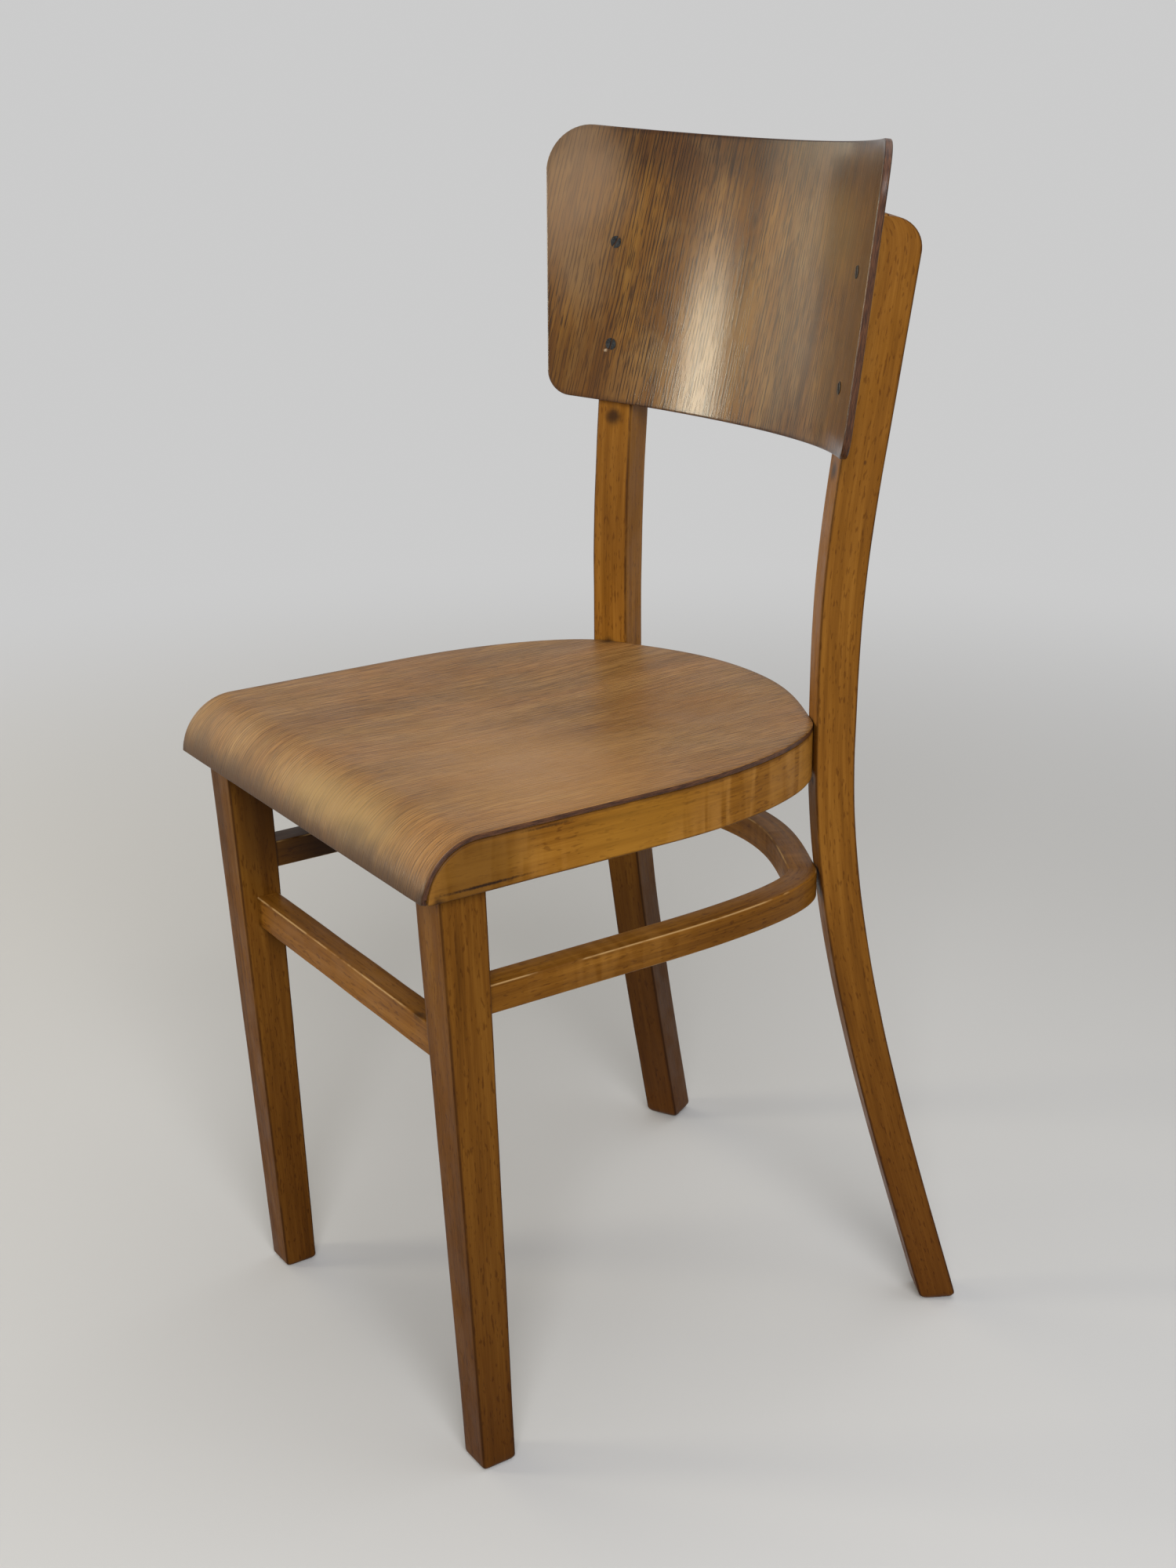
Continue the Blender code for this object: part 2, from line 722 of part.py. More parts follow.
def make_panel():
    """The back: a flat sheet with rounded corners, bent to the two posts and leaned back with them."""
    lean = math.atan(math.tan(POST_BACK_LEAN) / math.cos(POST_TURN))
    middle = (PANEL_BOTTOM + PANEL_TOP) / 2
    touch = post_offset(middle) - CLEARANCE / math.cos(lean)
    radius = POST_X / math.sin(POST_TURN) + touch
    half_height = (PANEL_TOP - PANEL_BOTTOM) / 2 / math.cos(lean)
    right = corner_arc(
        (PANEL_BOTTOM_HALF - PANEL_BOTTOM_RADIUS, PANEL_BOTTOM_RADIUS - half_height),
        PANEL_BOTTOM_RADIUS,
        270.0,
        6,
    )
    right += corner_arc(
        (PANEL_TOP_HALF - PANEL_TOP_RADIUS, half_height - PANEL_TOP_RADIUS),
        PANEL_TOP_RADIUS,
        0.0,
        8,
    )
    outline = right + [(-x, y) for x, y in reversed(right)]
    mesh = plate_mesh("back_panel", outline, PANEL_PLY)
    mesh.transform(Matrix.Rotation(math.radians(90.0), 4, "X"))
    work = bmesh.new()
    work.from_mesh(mesh)
    for step in range(-13, 14):
        x = PANEL_TOP_HALF * step / 14.0
        bmesh.ops.bisect_plane(
            work,
            geom=work.verts[:] + work.edges[:] + work.faces[:],
            dist=0.0000005,
            plane_co=(x, 0.0, 0.0),
            plane_no=(1.0, 0.0, 0.0),
        )
    work.to_mesh(mesh)
    work.free()
    panel = add_object("back_panel", mesh, wood("panel_ply"))
    round_edges(panel, PANEL_EDGE, 2)
    bend = panel.modifiers.new("bend", "SIMPLE_DEFORM")
    bend.deform_method = "BEND"
    bend.deform_axis = "Z"
    bend_radius = radius - PANEL_PLY / 2
    bend.angle = -2 * PANEL_TOP_HALF / bend_radius
    axis_y = POST_Y - POST_X / math.tan(POST_TURN)
    back_y = axis_y + radius - PANEL_PLY / 2 / math.cos(lean)
    panel.matrix_world = Matrix.Translation((0.0, back_y, middle)) @ Matrix.Rotation(
        -lean, 4, "X"
    )
    return panel, lean


clear_scene()
PARTS = make_collection("bentwood_chair")
CUTTERS = make_collection("cutters", hidden=True)
STEEL_MATERIAL = make_material("screw_steel", STEEL[0], STEEL[1], 0.85)


def main():
    seat, rim, rail = make_seat()
    leg_wood = wood("leg_beech")
    post_wood = wood("post_beech")
    hoop, tenons = make_hoop()
    stretcher, mortise = make_stretcher()
    posts = {}
    for (side, word), (root, tip) in zip(SIDES, tenons):
        leg, spot = make_leg(side, "front_leg_" + word, leg_wood)
        cut(leg, mortise)
        bore("hoop_socket_" + word, leg, root, tip, HOOP_TENON_DIAMETER)
        bore(
            "leg_socket_" + word,
            rim,
            spot,
            spot + Vector((0.0, 0.0, LEG_TENON_LENGTH)),
            LEG_TENON_DIAMETER,
        )
        posts[word] = make_post(side, "rear_post_" + word, post_wood)
    panel, lean = make_panel()
    for side, word in SIDES:
        post = posts[word]
        outward = Vector((side * OUTWARD.x, OUTWARD.y, 0.0))
        face = (-outward + Vector((0.0, 0.0, math.tan(POST_BACK_LEAN)))).normalized()
        sizes = (BACK_SCREW_HEAD, BACK_SCREW_SHANK, BACK_SCREW_LENGTH)
        for level, height in zip(("lower", "upper"), BACK_SCREW_HEIGHTS):
            depth = (PANEL_PLY + CLEARANCE) / math.cos(POST_BACK_LEAN)
            spot = post_point(side, height, -depth, BACK_SCREW_OUT)
            name = "back_screw_" + level + "_" + word
            add_screw(name, spot, face, sizes, BACK_SCREW_TWIST, (panel, post))
        for label, piece, height in (("rim", rim, RIM_MIDDLE), ("hoop", hoop, HOOP_MIDDLE)):
            spot = post_point(side, height, post_depth(height) - FRAME_SCREW_SINK)
            length = post_depth(height) + FRAME_SCREW_BITE
            sizes = (FRAME_SCREW_HEAD, FRAME_SCREW_SHANK, length)
            name = label + "_screw_" + word
            add_screw(name, spot, outward, sizes, FRAME_SCREW_TWIST, (post, piece))


main()
bpy.context.view_layer.update()
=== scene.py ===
"""Looks of an old bentwood chair: worn varnished beech and moulded ply, on a pale floor."""

import logging
import math
from collections.abc import Callable, Iterable, Mapping, Sequence
from dataclasses import dataclass, field
from enum import Enum

import bmesh
import bpy
import numpy as np
from mathutils import Matrix, Vector, noise
from mathutils.geometry import interpolate_bezier


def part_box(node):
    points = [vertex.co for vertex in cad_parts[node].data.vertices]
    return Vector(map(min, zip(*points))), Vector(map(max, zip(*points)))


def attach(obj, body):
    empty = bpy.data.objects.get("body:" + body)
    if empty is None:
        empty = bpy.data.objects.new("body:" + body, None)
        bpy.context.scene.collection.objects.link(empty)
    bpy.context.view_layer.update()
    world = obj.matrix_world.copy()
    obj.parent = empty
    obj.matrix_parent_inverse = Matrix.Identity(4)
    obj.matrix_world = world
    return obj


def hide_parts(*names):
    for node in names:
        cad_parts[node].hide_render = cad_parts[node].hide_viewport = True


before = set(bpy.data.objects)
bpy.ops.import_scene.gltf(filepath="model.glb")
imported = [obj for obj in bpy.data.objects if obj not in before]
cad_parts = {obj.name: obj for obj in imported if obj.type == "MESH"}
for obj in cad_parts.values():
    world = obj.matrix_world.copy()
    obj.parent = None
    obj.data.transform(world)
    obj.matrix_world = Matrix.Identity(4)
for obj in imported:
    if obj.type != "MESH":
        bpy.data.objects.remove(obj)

LOG = logging.getLogger("chair")
MM = 0.001
GRAIN = "grain"
EDGE = "edge"
SHARP_ANGLE = math.radians(38.0)
FOOT_STEPS = (0.0, 0.12, 0.35, 0.7, 1.0)
MIDDLE_TONE = 0.53
FLOAT_INPUT = "NodeSocketFloat"
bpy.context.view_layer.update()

Triple = tuple[float, float, float]
Colour = Triple
Point = tuple[float, float]
Socket = bpy.types.NodeSocket


class Side(Enum):
    """The two sides of the chair, seen along +Y."""

    RIGHT = 1.0
    LEFT = -1.0

    @property
    def word(self) -> str:
        """The side's name as the nodes spell it."""
        return self.name.lower()


class ArrisLook(Enum):
    """What the rounded edges of a piece show: dirt held in the varnish, or bare wood rubbed pale."""

    DIRTY = "dirty"
    RUBBED = "rubbed"


@dataclass(frozen=True)
class PostLine:
    """Where the rear posts stand and how they bend, shared by all that touches them."""

    x: float = 123.1 * MM
    y: float = 112.65 * MM
    turn: float = math.radians(28.0)
    width: float = 28.2 * MM
    depth: float = 27.2 * MM
    top_depth: float = 31.6 * MM
    height: float = 797.0 * MM
    knee: float = 440.7 * MM
    foot_splay: float = 92.0 * MM
    foot_steepness: float = 1.395
    foot_pull: float = 0.34
    knee_pull: float = 0.32
    back_lean: float = math.radians(7.4)
    lean_start: float = 640.0 * MM
    lean_offset: float = 10.8 * MM
    lean_pull: float = 0.42
    top_radius: float = 23.0 * MM

    def outward(self, side: Side = Side.RIGHT) -> Vector:
        """The level direction from a post's front face to its back face."""
        return Vector((side.value * math.sin(self.turn), math.cos(self.turn), 0.0))

    def across(self, side: Side = Side.RIGHT) -> Vector:
        """The level direction over a post's width, away from the chair's middle."""
        return Vector((side.value * math.cos(self.turn), -math.sin(self.turn), 0.0))

    def offset(self, height: float) -> float:
        """How far the front face stands outward of the place where it meets the seat.

        Args:
            height: Height above the floor.

        Returns:
            The offset along the post's depth.
        """
        if height >= self.lean_start:
            return self.lean_offset + (height - self.lean_start) * math.tan(self.back_lean)
        run = self._bend()
        heights = [z for _, z in run]
        return float(np.interp(height, heights, [s for s, _ in run]))

    def _bend(self) -> list[Point]:
        """The front face from the foot to the start of the straight lean, as (offset, height)."""
        lead = (self.lean_start - self.knee) * self.lean_pull
        lean = math.tan(self.back_lean)
        foot_handle = self.foot_splay * (1.0 - self.foot_steepness * self.foot_pull)
        pieces = (
            (
                (self.foot_splay, 0.0),
                (foot_handle, self.knee * self.foot_pull),
                (0.0, self.knee * (1.0 - self.knee_pull)),
                (0.0, self.knee),
            ),
            (
                (0.0, self.knee),
                (0.0, self.knee + lead),
                (self.lean_offset - lean * lead, self.lean_start - lead),
                (self.lean_offset, self.lean_start),
            ),
        )
        return bezier_run(pieces, 60)

    def depth_at(self, height: float) -> float:
        """The post's depth, front to back, at a height."""
        share = max(0.0, (height - self.knee) / (self.height - self.knee))
        return self.depth + (self.top_depth - self.depth) * share

    def point(self, side: Side, height: float, out: float = 0.0, over: float = 0.0) -> Vector:
        """A point given from a post's front face.

        Args:
            side: Which post.
            height: Height above the floor.
            out: Distance from the front face along the post's depth.
            over: Distance from the post's middle over its width.

        Returns:
            The point in the chair's frame.
        """
        base = Vector((side.value * self.x, self.y, 0.0))
        spot = base + self.outward(side) * (self.offset(height) + out) + self.across(side) * over
        spot.z = height
        return spot


@dataclass(frozen=True)
class UPlan:
    """A U in plan that touches both posts: straight sides, turned in to them and round the back."""

    line: PostLine
    half_width: float
    touch_height: float
    bulge: float
    front: float
    seat_front: float
    bend_share: float = 0.5236
    side_pull: float = 0.55
    turn_pull: float = 0.17
    back_pull: float = 0.40
    gap: float = 0.3 * MM

    @property
    def back(self) -> float:
        """The y of the middle of the round end."""
        return self.line.y + self.bulge

    def right_half(self, steps: int) -> list[Point]:
        """The outer line from the front end on the right to the middle of the back.

        Args:
            steps: Steps in each curved stretch.

        Returns:
            Points (x, y).
        """
        line = self.line
        base = Vector((line.x, line.y, 0.0))
        touch = base + line.outward() * (line.offset(self.touch_height) - self.gap)
        over = line.across()
        turn_y = self.back - (self.back - self.seat_front) * self.bend_share
        reach = touch.y - turn_y
        turn = reach * self.turn_pull
        lead = touch.x * self.back_pull
        pieces = (
            (
                (self.half_width, turn_y),
                (self.half_width, turn_y + reach * self.side_pull),
                (touch.x + over.x * turn, touch.y + over.y * turn),
                (touch.x, touch.y),
            ),
            (
                (touch.x, touch.y),
                (touch.x - over.x * lead, touch.y - over.y * lead),
                (touch.x * self.back_pull, self.back),
                (0.0, self.back),
            ),
        )
        bend = bezier_run(pieces, steps)
        straight = [
            (self.half_width, float(y)) for y in np.linspace(self.front, turn_y, steps)[:-1]
        ]
        return straight + bend

    def whole(self, steps: int) -> list[Point]:
        """The outer line from the front end on the right round to the front end on the left."""
        right = self.right_half(steps)
        return right + [(-x, y) for x, y in reversed(right[:-1])]


def bezier_run(pieces: Iterable[Sequence[Point]], steps: int) -> list[Point]:
    """Samples Bezier pieces that join end to end.

    Args:
        pieces: Each piece as (start, handle, handle, end).
        steps: Steps in each piece.

    Returns:
        Points from the first start to the last end.
    """
    run: list[Point] = []
    for piece in pieces:
        corners = [Vector((*corner, 0.0)) for corner in piece]
        found = [(p.x, p.y) for p in interpolate_bezier(*corners, steps + 1)]
        run.extend(found if not run else found[1:])
    return run


def arc(centre: Point, radius: float, start: float, steps: int) -> list[Point]:
    """A quarter turn to the left about a centre, from a start angle in degrees."""
    angles = [math.radians(start + 90.0 * step / steps) for step in range(steps + 1)]
    return [(centre[0] + radius * math.cos(a), centre[1] + radius * math.sin(a)) for a in angles]


def worn_foot(rounding: float, top: float, steps: int) -> list[Point]:
    """Heights from the floor up, each with how far a foot worn round is drawn in there.

    Args:
        rounding: Radius of the rounding.
        top: The last height.
        steps: How many heights are above the foot, with the rounding's own top.

    Returns:
        Pairs (height, inset).
    """
    heights = list(np.array(FOOT_STEPS) * rounding) + list(np.linspace(rounding, top, steps)[1:])
    lifts = [max(0.0, rounding - height) for height in heights]
    return [(z, rounding - math.sqrt(rounding**2 - lift**2)) for z, lift in zip(heights, lifts)]


def rounded_section(width: float, depth: float, radius: float) -> np.ndarray:
    """A rectangle about the origin with rounded corners, anticlockwise.

    Args:
        width: Size along x.
        depth: Size along y.
        radius: Rounding of the corners.

    Returns:
        Array of (x, y).
    """
    radius = min(radius, width * 0.45, depth * 0.45)
    corners = ((1, 1, 0.0), (-1, 1, 90.0), (-1, -1, 180.0), (1, -1, 270.0))
    arcs = [
        arc((i * (width / 2 - radius), j * (depth / 2 - radius)), radius, start, 4)
        for i, j, start in corners
    ]
    ring: list[Point] = []
    for this, after in zip(arcs, arcs[1:] + arcs[:1]):
        ring.extend(this)
        start, end = np.array(this[-1]), np.array(after[0])
        ring.extend(tuple(start + (end - start) * share) for share in (0.08, 0.3, 0.5, 0.7, 0.92))
    return np.array(ring)


@dataclass
class Timber:
    """Rings of points along one piece of timber, with each point's place in the straight board."""

    seed: float
    arris: float = 1.4 * MM
    waver: float = 0.18 * MM
    rings: list[np.ndarray] = field(default_factory=list)
    grain: list[np.ndarray] = field(default_factory=list)
    edge: list[np.ndarray] = field(default_factory=list)

    def ring(
        self,
        middle: Vector,
        over: Vector,
        up: Vector,
        size: Point,
        along: float,
        inset: float = 0.0,
        shift: float = 0.0,
    ) -> None:
        """Adds one ring.

        Args:
            middle: Centre of the ring.
            over: Unit direction of the ring's width.
            up: Direction of the ring's depth, stretched where the ring is cut at a slant.
            size: Width and depth.
            along: Distance along the piece.
            inset: How far the ring is drawn in all round, at a rounded end.
            shift: What the grain's depth moves by, so that it keeps its place in a tapering piece.
        """
        place = Vector((along * 9.0, self.seed, 0.0))
        soft = noise.noise(place) * self.waver
        other = noise.noise(place + Vector((0.0, 7.3, 0.0))) * self.waver
        radius = self.arris * (1.0 + 0.45 * noise.noise(place * 3.1 + Vector((0.0, 0.0, 4.2))))
        width = size[0] + soft - 2 * inset
        depth = size[1] + other - 2 * inset
        flat = rounded_section(width, depth, radius + inset)
        points = np.array(middle)[None, :] + flat[:, :1] * np.array(over) + flat[:, 1:] * np.array(up)
        count = len(flat)
        self.rings.append(points)
        self.grain.append(np.column_stack([np.full(count, along), flat[:, 0], flat[:, 1] + shift]))
        self.edge.append(
            np.column_stack(
                [
                    width / 2 - np.abs(flat[:, 0]),
                    depth / 2 - np.abs(flat[:, 1]),
                    np.full(count, self.seed),
                ]
            )
        )

    def mesh(self, name: str) -> bpy.types.Mesh:
        """Joins the rings into one closed mesh.

        Args:
            name: Name of the mesh.

        Returns:
            The mesh, with its grain and edge attributes.
        """
        count = len(self.rings[0])
        last = len(self.rings) - 1
        faces = [tuple(reversed(range(count)))]
        for row in range(last):
            low, high = row * count, (row + 1) * count
            for step in range(count):
                after = (step + 1) % count
                faces.append((low + step, low + after, high + after, high + step))
        faces.append(tuple(last * count + step for step in range(count)))
        mesh = bpy.data.meshes.new(name)
        mesh.from_pydata(np.concatenate(self.rings).tolist(), [], faces)
        store(mesh, GRAIN, np.concatenate(self.grain))
        store(mesh, EDGE, np.concatenate(self.edge))
        face_out(mesh)
        return mesh


def store(mesh: bpy.types.Mesh, name: str, values: np.ndarray) -> None:
    """Keeps one vector for each point of a mesh under a name that a material can read."""
    attribute = mesh.attributes.new(name, "FLOAT_VECTOR", "POINT")
    attribute.data.foreach_set("vector", np.asarray(values, np.float32).ravel())


def face_out(mesh: bpy.types.Mesh) -> None:
    """Turns the faces of a closed mesh outward."""
    work = bmesh.new()
    work.from_mesh(mesh)
    bmesh.ops.recalc_face_normals(work, faces=work.faces)
    work.to_mesh(mesh)
    work.free()


def add_piece(
    name: str,
    mesh: bpy.types.Mesh,
    materials: Sequence[bpy.types.Material],
    nodes: Sequence[str],
) -> bpy.types.Object:
    """Puts a finished mesh in the scene in place of its CAD nodes.

    Args:
        name: The piece's name.
        mesh: Its mesh, already in the chair's frame.
        materials: Its materials, the main one first. None are added where the mesh has its own.
        nodes: The CAD nodes that it stands for.

    Returns:
        The new object.
    """
    for material in materials:
        mesh.materials.append(material)
    mesh.polygons.foreach_set("use_smooth", [True] * len(mesh.polygons))
    mesh.set_sharp_from_angle(angle=SHARP_ANGLE)
    piece = bpy.data.objects.new(name, mesh)
    bpy.context.scene.collection.objects.link(piece)
    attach(piece, "root")
    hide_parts(*nodes)
    LOG.info("%s: %d faces, stands for %s", name, len(mesh.polygons), ", ".join(nodes))
    return piece


class Nodes:
    """Shorthand for the nodes of one tree."""

    def __init__(self, tree: bpy.types.NodeTree) -> None:
        """Takes a tree that stands already."""
        self.tree = tree

    def blend(self, share: object, first: object, second: object) -> Socket:
        """One number passing into another as the share goes from 0 to 1."""
        return self.node(
            "ShaderNodeMapRange", {"Value": share, "To Min": first, "To Max": second}
        ).outputs[0]

    def shown(self) -> Socket:
        """1 for what the camera sees, also mirrored or through glass, and 0 for all other light."""
        paths = self.node("ShaderNodeLightPath").outputs
        mirrored = self.math("MAXIMUM", paths["Is Glossy Ray"], paths["Is Transmission Ray"])
        return self.math("MAXIMUM", paths["Is Camera Ray"], mirrored)

    def node(
        self, kind: str, inputs: Mapping[str | int, object] | None = None, **settings: object
    ) -> bpy.types.Node:
        """Adds a node.

        Args:
            kind: The node's type.
            inputs: A value or a socket for each input, by name or number.
            settings: The node's own settings.

        Returns:
            The node.
        """
        made = self.tree.nodes.new(kind)
        for key, value in settings.items():
            setattr(made, key, value)
        for key, value in (inputs or {}).items():
            self.feed(made.inputs[key], value)
        return made

    def feed(self, socket: Socket, value: object) -> None:
        """Links a socket to another, or sets it to a plain value."""
        if isinstance(value, bpy.types.NodeSocket):
            self.tree.links.new(value, socket)
        else:
            socket.default_value = value

    def attribute(self, name: str) -> Socket:
        """A vector attribute of the piece."""
        return self.node("ShaderNodeAttribute", attribute_name=name).outputs["Vector"]

    def place(self) -> Socket:
        """The point in the chair's own frame."""
        return self.node("ShaderNodeTexCoord").outputs["Object"]

    def split(self, vector: Socket) -> tuple[Socket, Socket, Socket]:
        """The three parts of a vector."""
        parts = self.node("ShaderNodeSeparateXYZ", {0: vector}).outputs
        return parts[0], parts[1], parts[2]

    def join(self, x: object, y: object, z: object) -> Socket:
        """A vector from its three parts."""
        return self.node("ShaderNodeCombineXYZ", {0: x, 1: y, 2: z}).outputs[0]

    def stretch(self, vector: Socket, scale: Triple) -> Socket:
        """A vector scaled along each axis."""
        return self.node("ShaderNodeMapping", {"Vector": vector, "Scale": scale}).outputs[0]

    def math(self, operation: str, *values: object) -> Socket:
        """A sum on one, two or three numbers."""
        return self.node(
            "ShaderNodeMath", dict(enumerate(values)), operation=operation
        ).outputs[0]

    def vector(self, operation: str, first: object, second: object) -> Socket:
        """A sum on two vectors."""
        return self.node(
            "ShaderNodeVectorMath", {0: first, 1: second}, operation=operation
        ).outputs[0]

    def noise(
        self,
        vector: Socket,
        scale: Triple,
        detail: float = 2.0,
        roughness: float = 0.5,
        distortion: float = 0.0,
    ) -> Socket:
        """Soft noise from 0 to 1 over a vector that is scaled along each axis."""
        return self.node(
            "ShaderNodeTexNoise",
            {
                "Vector": self.stretch(vector, scale),
                "Scale": 1.0,
                "Detail": detail,
                "Roughness": roughness,
                "Distortion": distortion,
            },
        ).outputs[0]

    def ease(self, value: Socket, low: float, high: float, to: Point = (0.0, 1.0)) -> Socket:
        """A soft step as a value passes from low to high.

        Args:
            value: The number that is read.
            low: Where the step starts.
            high: Where it ends.
            to: What it gives before and after.

        Returns:
            The step's value.
        """
        return self.node(
            "ShaderNodeMapRange",
            {
                "Value": value,
                "From Min": low,
                "From Max": high,
                "To Min": to[0],
                "To Max": to[1],
            },
            interpolation_type="SMOOTHSTEP",
        ).outputs[0]

    def ramp(self, value: Socket, stops: Sequence[tuple[float, Colour]]) -> Socket:
        """A run of colours over a number."""
        made = self.node("ShaderNodeValToRGB", {0: value})
        elements = made.color_ramp.elements
        while len(elements) < len(stops):
            elements.new(0.5)
        for element, (position, colour) in zip(elements, stops):
            element.position = position
            element.color = (*colour, 1.0)
        return made.outputs[0]

    def mix(self, share: object, first: object, second: object, blend: str = "MIX") -> Socket:
        """One colour laid over another.

        Args:
            share: How much of the second shows, from 0 to 1.
            first: The colour below.
            second: The colour above.
            blend: How they are mixed.

        Returns:
            The mixed colour.
        """
        made = self.node("ShaderNodeMix", data_type="RGBA", blend_type=blend)
        wide = [(*c, 1.0) if isinstance(c, tuple) else c for c in (first, second)]
        for socket, value in zip((made.inputs[0], made.inputs[6], made.inputs[7]), (share, *wide)):
            self.feed(socket, value)
        return made.outputs[2]


class Graph(Nodes):
    """Shorthand for one material's nodes, its shader among them."""

    def __init__(self, name: str) -> None:
        """Starts a material with its Principled shader."""
        self.material = bpy.data.materials.new(name)
        self.material.use_nodes = True
        super().__init__(self.material.node_tree)
        self.shader = self.tree.nodes["Principled BSDF"]

    def bump(self, height: Socket, distance: float, strength: float) -> None:
        """Raises the surface by a height that runs from 0 to 1 over the distance."""
        made = self.node(
            "ShaderNodeBump", {"Height": height, "Distance": distance, "Strength": strength}
        )
        for name in ("Normal", "Coat Normal"):
            self.feed(self.shader.inputs[name], made.outputs[0])

    def settle(self, **values: object) -> None:
        """Sets or links inputs of the shader, named with underscores for spaces."""
        for key, value in values.items():
            self.feed(self.shader.inputs[key.replace("_", " ")], value)


@dataclass(frozen=True)
class Speck:
    """A mark: its place, reach and strength, how far each axis is squeezed, and its colour."""

    spot: Triple | Vector
    reach: float
    strength: float
    squeeze: Triple = (1.0, 1.0, 1.0)
    tint: Colour = (0.018, 0.008, 0.005)


def lay_dirt_and_painted_light(g: Graph, colour: Socket, marks: Iterable[Speck]) -> Socket:
    """Lays ragged marks over a colour: dirt, and also painted shade and painted highlights.

    Args:
        g: The material's nodes.
        colour: The colour below.
        marks: The marks.

    Returns:
        The colour with the marks on it.
    """
    for mark in marks:
        away = g.vector("MULTIPLY", g.vector("SUBTRACT", g.place(), mark.spot), mark.squeeze)
        gap = g.node("ShaderNodeVectorMath", {0: away}, operation="LENGTH").outputs["Value"]
        fineness = 0.9 / mark.reach
        ragged = g.noise(g.place(), (fineness, fineness, fineness), 3.0)
        gap = g.math("MULTIPLY_ADD", ragged, mark.reach * 0.8, gap)
        share = g.ease(gap, mark.reach * 0.55, mark.reach * 1.35, (mark.strength, 0.0))
        colour = g.mix(share, colour, mark.tint)
    return colour


